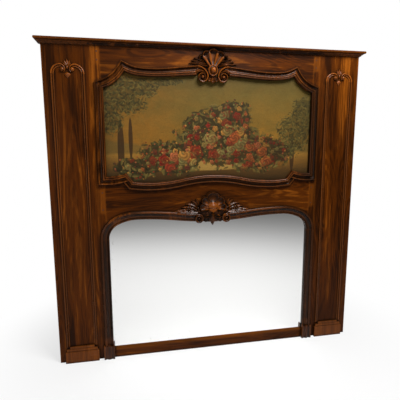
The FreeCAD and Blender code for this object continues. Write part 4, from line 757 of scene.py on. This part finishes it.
class Nodes:
    """Short way to write a material's nodes."""

    def __init__(self, name):
        self.material = bpy.data.materials.new(name)
        self.material.use_nodes = True
        self.tree = self.material.node_tree
        self.tree.nodes.clear()
        self.output = self.tree.nodes.new("ShaderNodeOutputMaterial")
        self.coordinates = self.tree.nodes.new("ShaderNodeTexCoord").outputs["Object"]

    def new(self, kind, **settings):
        node = self.tree.nodes.new(kind)
        for key, value in settings.items():
            setattr(node, key, value)
        return node

    def link(self, source, target):
        if isinstance(source, (int, float, tuple)):
            target.default_value = source
        else:
            self.tree.links.new(source, target)

    def math(self, operation, one, two=0.0, three=0.0):
        node = self.new("ShaderNodeMath", operation=operation)
        for source, socket in zip((one, two, three), node.inputs):
            self.link(source, socket)
        return node.outputs[0]

    def times(self, *values):
        return functools.reduce(functools.partial(self.math, "MULTIPLY"), values)

    def plus(self, *values):
        return functools.reduce(functools.partial(self.math, "ADD"), values)

    def most(self, *values):
        return functools.reduce(functools.partial(self.math, "MAXIMUM"), values)

    def minus(self, one, two):
        return self.math("SUBTRACT", one, two)

    def line(self, value, slope, rise):
        return self.math("MULTIPLY_ADD", value, slope, rise)

    def away(self, value, centre=0.0):
        """Distance of a number from a centre."""
        return self.math("ABSOLUTE", self.minus(value, centre) if centre else value)

    def oval(self, x, z, centre_x, centre_z, half_wide, half_tall):
        """Square of the distance from an oval's centre, 1 on its edge."""
        return self.plus(self.math("POWER", self.math("DIVIDE", self.away(x, centre_x), half_wide), 2.0),
                         self.math("POWER", self.math("DIVIDE", self.away(z, centre_z), half_tall), 2.0))

    def mapping(self, scale, location=(0, 0, 0), source=None):
        node = self.new("ShaderNodeMapping")
        self.link(source if source is not None else self.coordinates, node.inputs["Vector"])
        node.inputs["Scale"].default_value = scale
        node.inputs["Location"].default_value = location
        return node.outputs[0]

    def noise(self, vector, detail=4.0, roughness=0.55, distortion=0.0, scale=1.0):
        node = self.new("ShaderNodeTexNoise")
        self.link(vector, node.inputs["Vector"])
        for name, number in (("Scale", scale), ("Detail", detail), ("Roughness", roughness),
                             ("Distortion", distortion)):
            node.inputs[name].default_value = number
        return node.outputs["Fac"]

    def ramp(self, factor, stops, interpolation="LINEAR"):
        node = self.new("ShaderNodeValToRGB")
        node.color_ramp.interpolation = interpolation
        elements = node.color_ramp.elements
        while len(elements) < len(stops):
            elements.new(0.5)
        for element, (place, colour) in zip(elements, stops):
            element.position = place
            element.color = (*colour, 1)
        self.link(factor, node.inputs["Fac"])
        return node.outputs["Color"]

    def range(self, value, low, high, new_low=0.0, new_high=1.0, kind="LINEAR"):
        node = self.new("ShaderNodeMapRange", interpolation_type=kind)
        self.link(value, node.inputs["Value"])
        for name, number in (("From Min", low), ("From Max", high),
                             ("To Min", new_low), ("To Max", new_high)):
            node.inputs[name].default_value = number
        return node.outputs["Result"]

    def ease(self, value, low, high, new_low=0.0, new_high=1.0):
        return self.range(value, low, high, new_low, new_high, "SMOOTHSTEP")

    def occlusion(self, distance, inside=False):
        node = self.new("ShaderNodeAmbientOcclusion", samples=8, inside=inside)
        node.inputs["Distance"].default_value = distance
        return node.outputs["AO"]

    def mix(self, factor, one, two, blend="MIX"):
        node = self.new("ShaderNodeMix", data_type="RGBA", blend_type=blend)
        self.link(factor, node.inputs["Factor"])
        sockets = [socket for socket in node.inputs if socket.type == "RGBA"]
        for source, socket in zip((one, two), sockets):
            if isinstance(source, tuple) and len(source) == 3:
                source = (*source, 1)
            self.link(source, socket)
        return [socket for socket in node.outputs if socket.type == "RGBA"][0]

    def separate(self, source=None):
        node = self.new("ShaderNodeSeparateXYZ")
        self.link(source if source is not None else self.coordinates, node.inputs[0])
        return node.outputs

    def combine(self, x, y):
        node = self.new("ShaderNodeCombineXYZ")
        for source, socket in zip((x, y), node.inputs):
            self.link(source, socket)
        return node.outputs[0]

    def bump(self, height, strength, distance):
        node = self.new("ShaderNodeBump")
        node.inputs["Strength"].default_value = strength
        node.inputs["Distance"].default_value = distance
        self.link(height, node.inputs["Height"])
        return node.outputs["Normal"]

    def surface(self, **inputs):
        shader = self.new("ShaderNodeBsdfPrincipled")
        for key, value in inputs.items():
            socket = shader.inputs[key.replace("_", " ")]
            if isinstance(value, tuple) and len(value) == 3 and socket.type == "RGBA":
                value = (*value, 1)
            self.link(value, socket)
        self.link(shader.outputs[0], self.output.inputs["Surface"])
        return self.material


def srgb(red, green, blue):
    """A colour as it is seen, 0 to 255, in the linear numbers that shaders take."""
    def linear(value):
        value /= 255
        return value / 12.92 if value <= 0.04045 else ((value + 0.055) / 1.055) ** 2.4
    return linear(red), linear(green), linear(blue)


def stops(*rows):
    """Stops of a colour ramp from rows (place, red, green, blue)."""
    return [(place, srgb(*colour)) for place, *colour in rows]


def scaled(colour, factor):
    return tuple(min(1.0, value * factor) for value in colour)


# which way the figure runs: places of (across, across, along) on x, y and z
GRAIN = {"Z": (0, 1, 2), "X": (2, 1, 0), "Y": (0, 2, 1)}
PILASTER_EDGE = 0.56        # metres from the middle, just inside the pilasters' beads
FOOT_BLEND = (0.115, 0.1)   # metres, heights between which the foot tones come in
HOLLOW_REACH = 0.016
# near black laid into the hollows: painted shade, with some dirt
DIRT_AND_SHADE = (0.007, 0.0035, 0.0015)


def walnut(name, tones, along="Z", wear_and_highlight_strength=0.4, hollow=0.6, gloss=0.36, shine=0.3, reach=0.013,
           foot=None, tops=None, painted_highlights=(), highlight_zones=()):
    """Old waxed walnut: cathedral figure along one axis, pores, painted shade with some dirt in hollows,
    ridges lighter by wear and painted highlight.

    tones are dark, middle and light, and foot those near the floor. tops are the
    heights over the face, in millimetres, between which bead tops get wear and painted highlight, and where
    that starts on the pilasters. painted_highlights are ovals (x, z, half width, half height, strength)
    lightened as painted highlight, and highlight_zones the ovals outside which, but for the pilasters, ridges
    get little wear and painted highlight.
    """
    n = Nodes(name)
    dark, middle, light = tones
    x, y, z = n.separate()

    def stretched(wide, long):
        scale = (wide, wide, long)
        return n.mapping(tuple(scale[place] for place in GRAIN[along]))

    field = n.noise(stretched(5.5, 0.75), 2.0, 0.45, 0.5)
    rings = n.math("SINE", n.times(field, 105.0))
    tone = n.noise(stretched(11, 1.2), 5.0, 0.6, 1.2)
    streaks = n.noise(stretched(90, 3.5), 4.0, 0.6, 0.3)
    blend = n.line(rings, 0.05, n.line(tone, 0.68, n.times(streaks, 0.32)))
    wood = n.ramp(blend, [(0.38, dark), (0.49, middle), (0.55, middle), (0.66, light)])
    if foot:
        pale = n.ramp(blend, list(zip((0.38, 0.5, 0.66), foot)))
        wood = n.mix(n.ease(z, *FOOT_BLEND), wood, pale)
    vein = n.times(n.ease(rings, 0.62, 1.0, 0.0, 0.75), n.range(tone, 0.62, 0.4, 0.2, 1.0))
    wood = n.mix(vein, wood, scaled(dark, 0.5))
    cloud = n.noise(n.mapping((2.4, 2.4, 2.4)), 3.0, 0.5)
    wood = n.mix(n.range(cloud, 0.4, 0.7, 0.0, 0.6), wood, dark)
    pores = n.noise(stretched(520, 22), 2.0, 0.5)
    wood = n.mix(n.range(pores, 0.56, 0.7, 0.0, 0.5), wood, scaled(dark, 0.35))

    # ridges lighter: wear and painted highlight on convex edges and bead tops
    wear_and_highlight = n.ease(n.occlusion(reach, inside=True), 0.85, 0.35, 0.0, wear_and_highlight_strength)
    if tops:
        low, high, pilaster_low = tops
        proud = n.times(n.minus(FACE_Y * MM, y), 1 / MM)
        lift = n.range(n.away(x), PILASTER_EDGE - 0.005, PILASTER_EDGE, 0.0, low - pilaster_low)
        wear_and_highlight = n.most(wear_and_highlight, n.ease(n.plus(proud, lift), low, high, 0.0, wear_and_highlight_strength))
    # ridges keep their wear and painted highlight on the pilasters and in given ovals, and only a third of it
    # elsewhere
    if highlight_zones:
        pilaster_zone = n.range(n.away(x), PILASTER_EDGE - 0.015, PILASTER_EDGE, 0.3, 1.0)
        wear_and_highlight = n.times(wear_and_highlight, n.most(pilaster_zone, *(n.ease(n.oval(x, z, *spot), 1.0, 0.8) for spot in highlight_zones)))
    # painted highlights: given ovals made lighter
    for *spot, strength in painted_highlights:
        wear_and_highlight = n.most(wear_and_highlight, n.ease(n.oval(x, z, *spot), 1.0, 0.3, 0.0, strength))
    wear_and_highlight = n.times(wear_and_highlight, n.range(streaks, 0.35, 0.6, 0.6, 1.0))
    wood = n.mix(wear_and_highlight, wood, scaled(light, 1.2))
    # painted shade in the hollows, with some dirt
    wood = n.mix(n.range(n.occlusion(HOLLOW_REACH), 0.38, 0.94, hollow, 0.0), wood, DIRT_AND_SHADE)
    relief = n.line(pores, -0.5, n.times(streaks, 0.5))
    return n.surface(Base_Color=wood, Roughness=n.range(cloud, 0.3, 0.7, gloss - 0.05, gloss + 0.1),
                     Specular_IOR_Level=shine, Normal=n.bump(relief, 0.2, 0.0006))


def bare_wood():
    """Unfinished old softwood of the back."""
    n = Nodes("bare_softwood")
    figure = n.noise(n.mapping((1.2, 14, 22)), 6.0, 0.6, 1.2, scale=1.3)
    wood = n.ramp(figure, stops((0.3, 104, 78, 52), (0.5, 146, 114, 78), (0.7, 172, 140, 100)))
    stain = n.noise(n.mapping((3, 3, 3)), 4.0, 0.6)
    wood = n.mix(n.range(stain, 0.5, 0.75, 0.0, 0.6), wood, srgb(84, 64, 44))
    return n.surface(Base_Color=wood, Roughness=0.82, Normal=n.bump(figure, 0.3, 0.001))


def forged_iron():
    """Hammered plates and nails, a little rusty."""
    n = Nodes("forged_iron")
    rust = n.noise(n.mapping((60, 60, 60)), 5.0, 0.6)
    colour = n.ramp(rust, stops((0.35, 42, 38, 36), (0.55, 58, 50, 45), (0.72, 96, 58, 36)))
    return n.surface(Base_Color=colour, Metallic=0.7, Roughness=n.range(rust, 0.3, 0.7, 0.45, 0.75),
                     Normal=n.bump(rust, 0.5, 0.0008))


def silvered_glass():
    """Old mirror plate: clear silver, a little foxing towards the edge."""
    n = Nodes("silvered_glass")
    x, _, z = n.separate()
    edge = n.most(n.range(n.away(x), 0.44, 0.5), n.range(z, 0.12, 0.05))
    spots = n.noise(n.mapping((55, 55, 55)), 5.0, 0.7)
    foxing = n.times(n.range(spots, 0.62, 0.75, 0.0, 0.5), edge)
    colour = n.mix(foxing, (0.93, 0.935, 0.93), (0.25, 0.22, 0.18))
    haze = n.noise(n.mapping((3, 3, 3)), 3.0, 0.5)
    return n.surface(Base_Color=colour, Metallic=1.0, Roughness=n.range(haze, 0.3, 0.7, 0.012, 0.03))


# the painted park: clumps as ovals (x, z, half width, half height) in metres
FAR_TREES = ((0.19, 1.08, 0.055, 0.05), (0.1, 1.055, 0.06, 0.03), (-0.13, 1.06, 0.05, 0.04))
TRUNKS = ((-0.43, 1.02, 0.016, 0.14), (-0.385, 1.07, 0.01, 0.1), (0.41, 1.0, 0.013, 0.1))
CROWNS = ((-0.43, 1.25, 0.1, 0.07), (-0.48, 1.17, 0.06, 0.07), (-0.33, 1.29, 0.09, 0.035),
          (-0.22, 1.325, 0.08, 0.018), (0.42, 1.1, 0.08, 0.09), (0.465, 1.2, 0.06, 0.06),
          (0.37, 1.03, 0.07, 0.05))
BANKS = ((0.03, 1.05, 0.2, 0.11), (0.22, 1.0, 0.17, 0.085), (-0.19, 0.98, 0.16, 0.075),
         (0.09, 1.17, 0.11, 0.07), (-0.36, 0.93, 0.1, 0.05), (-0.05, 1.13, 0.09, 0.06))
HEART = ((0.03, 1.05, 0.16, 0.08), (0.21, 0.99, 0.14, 0.065), (-0.19, 0.97, 0.12, 0.05),
         (0.09, 1.16, 0.07, 0.045))
GREENS = stops((0.0, 30, 26, 12), (0.35, 46, 42, 20), (0.65, 66, 60, 28), (1.0, 98, 82, 38))
REDS = stops((0.0, 112, 22, 12), (0.18, 152, 74, 34), (0.32, 172, 120, 52), (0.46, 126, 32, 20),
             (0.58, 116, 106, 58), (0.7, 80, 30, 26), (0.84, 164, 88, 52), (0.94, 128, 108, 56))
THREADS = 5200              # radians of the canvas weave in a metre


def oil_painting():
    """Generic painted panel: a park in evening light, old trees and banks of blossom by a pond."""
    n = Nodes("oil_painting")
    x, _, z = n.separate()
    flat = n.combine(x, z)
    strokes = n.noise(n.mapping((24, 24, 60)), 5.0, 0.65, 1.2)
    ragged = n.noise(n.mapping((11, 11, 13)), 6.0, 0.7, 0.3)
    drift = n.noise(n.mapping((3, 3, 5)), 4.0, 0.55, 0.6)

    def masses(clumps, fray=1.3, wider=1.0, taller=1.0):
        """Mask of rounded clumps with a frayed outline."""
        masks = []
        for centre_x, centre_z, wide, tall in clumps:
            within = n.minus(n.line(ragged, fray, 1 - fray / 2),
                             n.oval(x, z, centre_x, centre_z, wide * wider, tall * taller))
            masks.append(n.ease(within, 0.0, 0.25))
        return n.most(*masks)

    def scatter(scale, shift):
        """Cells with a point in each: place turned at random, distance, tones and upright place."""
        cells = n.mapping((scale, scale, 1), location=(shift, 1.7 * shift, 0), source=flat)
        node = n.new("ShaderNodeTexVoronoi", voronoi_dimensions="2D")
        n.link(cells, node.inputs["Vector"])
        node.inputs["Scale"].default_value = 1.0
        away = n.new("ShaderNodeVectorMath", operation="SUBTRACT")
        n.link(cells, away.inputs[0])
        n.link(node.outputs["Position"], away.inputs[1])
        across, up, _ = n.separate(away.outputs[0])
        tones = n.separate(node.outputs["Color"])
        angle = n.times(tones["X"], 6.283)
        cosine, sine = n.math("COSINE", angle), n.math("SINE", angle)
        u = n.plus(n.times(across, cosine), n.times(up, sine))
        v = n.minus(n.times(up, cosine), n.times(across, sine))
        return u, v, node.outputs["Distance"], tones, (across, up)

    def leaves(colour, where, scale, shift, length=0.55, width=0.2):
        u, v, _, tones, _ = scatter(scale, shift)
        taper = n.minus(1.0, n.math("POWER", n.away(n.math("DIVIDE", u, length)), 2.0))
        side = n.away(v)
        shape = n.range(n.minus(n.times(taper, width), side), 0.0, 0.03)
        tone = n.ramp(n.line(v, 1.6, tones["Y"]), GREENS)
        tone = n.mix(n.range(side, 0.0, 0.022, 0.3, 0.0), tone, srgb(124, 110, 58))
        return n.mix(n.times(shape, where), colour, tone)

    def blossoms(colour, where, scale, shift, least, more):
        _, _, distance, tones, (across, up) = scatter(scale, shift)
        angle = n.math("ARCTAN2", up, across)
        lobes = n.math("COSINE", n.line(angle, 5.0, n.times(tones["Y"], 6.0)))
        reach = n.line(tones["Z"], more, least)
        shape = n.range(n.minus(n.times(reach, n.line(lobes, 0.12, 1.0)), distance), 0.0, 0.05)
        share = n.math("DIVIDE", distance, reach)
        swirl = n.math("SINE", n.plus(n.times(share, 13.0), n.line(angle, 3.0, n.times(ragged, 5.0))))
        petal = n.ramp(tones["X"], REDS, "CONSTANT")
        petal = n.mix(1.0, petal, n.range(swirl, -1.0, 1.0, 0.5, 1.12), "MULTIPLY")
        light = n.math("DIVIDE", n.minus(up, n.times(across, 0.7)), reach)
        petal = n.mix(1.0, petal, n.range(light, -1.0, 1.0, 0.55, 1.2), "MULTIPLY")
        petal = n.mix(n.range(share, 0.4, 0.05, 0.0, 0.5), petal, srgb(70, 28, 14))
        petal = n.mix(n.range(strokes, 0.4, 0.62, 0.0, 0.45), petal, srgb(92, 66, 32))
        return n.mix(n.times(shape, n.times(where, 0.9)), colour, petal)

    # sky, far hills, pond and ground
    wander = n.line(drift, 0.22, n.line(strokes, 0.05, -0.135))
    colour = n.ramp(n.range(n.plus(z, wander), 0.95, 1.4),
                    stops((0.0, 128, 82, 22), (0.3, 118, 84, 28), (0.6, 96, 76, 30), (1.0, 74, 64, 28)))
    colour = n.mix(n.ease(n.plus(x, wander), 0.0, -0.45, 0.0, 0.55), colour, srgb(122, 80, 26))
    blotches = n.noise(n.mapping((9, 9, 11)), 5.0, 0.65, 0.8)
    colour = n.mix(n.range(blotches, 0.4, 0.7, 0.0, 0.5), colour, srgb(74, 66, 28))
    ridge = n.line(n.math("SINE", n.times(x, 8.0)), 0.018, 1.045)
    edge = n.plus(n.minus(z, ridge), n.line(ragged, 0.05, -0.025))
    colour = n.mix(n.range(edge, 0.012, -0.004, 0.0, 0.75), colour, srgb(92, 74, 34))
    shore = n.line(ragged, 0.03, 0.985)
    ground = n.ramp(n.line(strokes, 0.4, n.range(z, 0.86, 1.0, -0.2, 0.8)),
                    stops((0.0, 40, 28, 12), (0.35, 66, 46, 20),
                          (0.7, 104, 72, 28), (1.0, 132, 96, 38)))
    colour = n.mix(n.range(n.minus(z, shore), 0.006, -0.006), colour, ground)
    pond = masses([(-0.06, 0.945, 0.3, 0.03)], 0.4)
    colour = n.mix(n.times(pond, 0.85), colour, srgb(142, 112, 56))
    # trees
    colour = n.mix(n.times(masses(FAR_TREES), 0.8), colour, srgb(74, 66, 32))
    colour = n.mix(n.times(masses(TRUNKS, 0.2), 0.9), colour, srgb(48, 32, 16))
    colour = n.mix(n.times(masses(CROWNS, 3.0), 0.6), colour, srgb(50, 46, 22))
    around = n.times(masses(CROWNS, 3.6, 1.2, 1.3), 0.75)
    for scale, shift in ((36, 3.0), (46, 7.0), (58, 11.0), (50, 17.0)):
        colour = leaves(colour, around, scale, shift)
    # banks of blossom
    banks, heart = masses(BANKS, 2.0), masses(HEART)
    around = masses(BANKS, 2.4, 1.12, 1.2)
    colour = n.mix(n.times(banks, 0.9), colour, srgb(40, 34, 16))
    for scale, shift in ((20, 5.0), (25, 9.0), (31, 13.0)):
        colour = leaves(colour, n.times(around, 0.85), scale, shift)
    for where, scale, shift, least, more in ((banks, 26, 9.0, 0.2, 0.2), (heart, 17, 2.0, 0.3, 0.2),
                                             (heart, 12, 6.0, 0.3, 0.16), (around, 44, 4.0, 0.1, 0.14)):
        colour = blossoms(colour, where, scale, shift, least, more)
    shade = n.ease(n.plus(x, n.times(wander, 2.0)), -0.1, 0.32, 0.0, 0.45)
    colour = n.mix(n.times(shade, banks), colour, srgb(44, 28, 14))
    # brush marks, old varnish, darker towards the sides and the top, and fine cracks
    colour = n.mix(n.range(strokes, 0.35, 0.7, 0.0, 0.3), colour, srgb(168, 138, 70), "SOFT_LIGHT")
    rim = n.most(n.range(n.away(x), 0.4, 0.5), n.range(z, 1.27, 1.37))
    colour = n.mix(n.times(rim, 0.35), colour, srgb(36, 30, 14))
    cracks = n.new("ShaderNodeTexVoronoi", feature="DISTANCE_TO_EDGE")
    n.link(n.mapping((85, 85, 85)), cracks.inputs["Vector"])
    cracks.inputs["Scale"].default_value = 1.0
    colour = n.mix(n.range(cracks.outputs["Distance"], 0.0, 0.03, 0.35, 0.0), colour, srgb(38, 28, 14))
    weave = n.times(n.math("SINE", n.times(x, THREADS)), n.math("SINE", n.times(z, THREADS)))
    relief = n.line(strokes, 1.0, n.times(weave, 0.12))
    return n.surface(Base_Color=colour, Roughness=0.5, Specular_IOR_Level=0.12,
                     Normal=n.bump(relief, 0.35, 0.0008))


# ---------------------------------------------------------------- the object

def tones(*shades):
    return tuple(srgb(*shade) for shade in shades)


BOARD_TONES = tones((36, 13, 0), (74, 33, 1), (128, 68, 12))
# boards: full painted shade with some dirt in the hollows, light wear and painted highlight on ridges
BOARD = dict(wear_and_highlight_strength=0.3, hollow=1.0, gloss=0.38, shine=0.07)
MATERIALS = {
    "walnut_upright": walnut("walnut_upright", BOARD_TONES, "Z", **BOARD),
    "walnut_rail": walnut("walnut_rail", BOARD_TONES, "X", **BOARD),
    "walnut_moulding": walnut(
        # mouldings: painted shade with some dirt in hollows; bead tops lighter by wear and painted highlight,
        # kept mostly on the top and bottom of the painting's frame and on the mirror's arch
        "walnut_moulding", tones((20, 8, 1), (40, 17, 3), (112, 58, 14)), wear_and_highlight_strength=0.5, hollow=1.0, gloss=0.27,
        shine=0.13, reach=0.006, foot=BOARD_TONES, tops=(9.5, 14.5, 2.0),
        highlight_zones=((0, 1.38, 0.54, 0.1), (0, 0.86, 0.52, 0.09), (0, 0.66, 0.52, 0.1))),
    "walnut_carving": walnut(
        # carvings: painted shade with some dirt in hollows; painted highlights on the pearl and the
        # cartouche's bowl, and ridge wear with painted highlight kept mostly around them
        "walnut_carving", tones((14, 6, 1), (30, 13, 3), (132, 68, 14)), wear_and_highlight_strength=0.7, hollow=1.0, gloss=0.29,
        shine=0.18, reach=0.011, foot=BOARD_TONES,
        painted_highlights=((0, 1.38, 0.014, 0.017, 0.8), (0, 0.742, 0.034, 0.024, 0.6)),
        highlight_zones=((0, 1.379, 0.08, 0.08), (0, 0.742, 0.045, 0.034))),
    "walnut_pegs": walnut("walnut_pegs", tones((26, 12, 6), (48, 25, 12), (80, 44, 22)), "Y"),
    "carcass_wood": bare_wood(),
    "iron": forged_iron(),
    "mirror_plate": silvered_glass(),
    "painted_canvas": oil_painting(),
}

for entry in frame["record"]["subparts"]:
    node = frame["nodes"][entry["node"]]
    material = MATERIALS[entry["material_slot"]]
    if not node.material_slots:
        node.data.materials.append(material)
    for slot in node.material_slots:
        slot.material = material

make_painting_frame(MATERIALS["walnut_moulding"])
make_mirror_frame(MATERIALS["walnut_moulding"])
make_crest_shell(MATERIALS["walnut_carving"])
make_cartouche(MATERIALS["walnut_carving"])
for side in (LEFT, RIGHT):
    make_crest_volute(side, MATERIALS["walnut_carving"])
    make_flower_spray(side, MATERIALS["walnut_carving"])
    make_pilaster_ornament(side, MATERIALS["walnut_moulding"], MATERIALS["walnut_carving"])
    make_foot_block(side, MATERIALS["walnut_carving"])

# ---------------------------------------------------------------- stage, light and camera

STAGE_SIZE = 14.0       # metres
FLOOR_DROP = 0.0005     # how far the floor lies under z = 0
AMBIENT = 0.16

# name, place, aim, width, height, watts
LAMPS = (
    ("key", (0.5, -1.1, 2.5), (0, 0, 0.8), 1.0, 0.6, 68),
    ("fill", (-1.9, -1.8, 0.9), (0, 0, 0.5), 1.0, 1.0, 11),
)

# the photograph's view, solved from the straight edges of the face
CAMERA_PLACE = (-0.398, -1.7527, 1.042)
CAMERA_RIGHT = (0.98164, -0.19072, -0.00376)
CAMERA_UP = (0.03226, 0.14657, 0.98867)
FOCAL_LENGTH, SENSOR_WIDTH = 33.0, 36


def make_floor():
    """Pale floor that looks white to the camera and keeps a soft shadow."""
    n = Nodes("pale_floor")
    diffuse = n.new("ShaderNodeBsdfDiffuse")
    diffuse.inputs["Color"].default_value = (0.86, 0.86, 0.86, 1)
    white = n.new("ShaderNodeEmission")
    white.inputs["Color"].default_value = (1, 1, 1, 1)
    path = n.new("ShaderNodeLightPath")
    mix = n.new("ShaderNodeMixShader")
    x, y, _ = n.separate()
    away = n.math("POWER", n.plus(n.times(x, x), n.times(y, y)), 0.5)
    n.link(n.times(path.outputs["Is Camera Ray"], n.ease(away, 0.5, 1.3, 0.6, 1.0)),
           mix.inputs[0])
    n.link(diffuse.outputs[0], mix.inputs[1])
    n.link(white.outputs[0], mix.inputs[2])
    n.link(mix.outputs[0], n.output.inputs["Surface"])
    mesh = bpy.data.meshes.new("floor")
    half = STAGE_SIZE / 2
    corners = [(-half, -half, 0), (half, -half, 0), (half, half, 0), (-half, half, 0)]
    mesh.from_pydata(corners, [], [(0, 1, 2, 3)])
    mesh.materials.append(n.material)
    floor = bpy.data.objects.new("floor", mesh)
    bpy.context.scene.collection.objects.link(floor)
    floor.location.z = -FLOOR_DROP


def make_world():
    """White behind the object; a plain even light on it."""
    world = bpy.data.worlds.new("studio")
    bpy.context.scene.world = world
    world.use_nodes = True
    tree = world.node_tree
    tree.nodes.clear()
    output = tree.nodes.new("ShaderNodeOutputWorld")
    path = tree.nodes.new("ShaderNodeLightPath")
    seen = tree.nodes.new("ShaderNodeMath")
    seen.operation = "MAXIMUM"
    tree.links.new(path.outputs["Is Camera Ray"], seen.inputs[0])
    tree.links.new(path.outputs["Is Transmission Ray"], seen.inputs[1])
    mix = tree.nodes.new("ShaderNodeMixShader")
    tree.links.new(seen.outputs[0], mix.inputs[0])
    for socket, colour, strength in ((1, (1, 0.985, 0.96, 1), AMBIENT), (2, (1, 1, 1, 1), 1.0)):
        light = tree.nodes.new("ShaderNodeBackground")
        light.inputs["Color"].default_value = colour
        light.inputs["Strength"].default_value = strength
        tree.links.new(light.outputs[0], mix.inputs[socket])
    tree.links.new(mix.outputs[0], output.inputs["Surface"])


def add_lamp(name, place, aim, width, height, power):
    """A soft rectangular lamp."""
    lamp = bpy.data.lights.new(name, "AREA")
    lamp.shape = "RECTANGLE"
    lamp.size = width
    lamp.size_y = height
    lamp.energy = power
    holder = bpy.data.objects.new(name, lamp)
    holder.location = place
    holder.rotation_euler = (Vector(aim) - Vector(place)).to_track_quat("-Z", "Y").to_euler()
    bpy.context.scene.collection.objects.link(holder)


def make_camera():
    """The photograph's own view: left of the middle, level with the upper half."""
    camera = bpy.data.cameras.new("camera")
    camera.sensor_width = SENSOR_WIDTH
    camera.lens = FOCAL_LENGTH
    holder = bpy.data.objects.new("camera", camera)
    right = Vector(CAMERA_RIGHT)
    up = Vector(CAMERA_UP)
    back = right.cross(up).normalized()
    up = back.cross(right).normalized()
    turn = Matrix((right.normalized(), up, back)).transposed()
    holder.matrix_world = Matrix.Translation(CAMERA_PLACE) @ turn.to_4x4()
    bpy.context.scene.collection.objects.link(holder)
    bpy.context.scene.camera = holder


make_floor()
make_world()
for lamp in LAMPS:
    add_lamp(*lamp)
make_camera()
bpy.context.scene.view_settings.view_transform = "Standard"
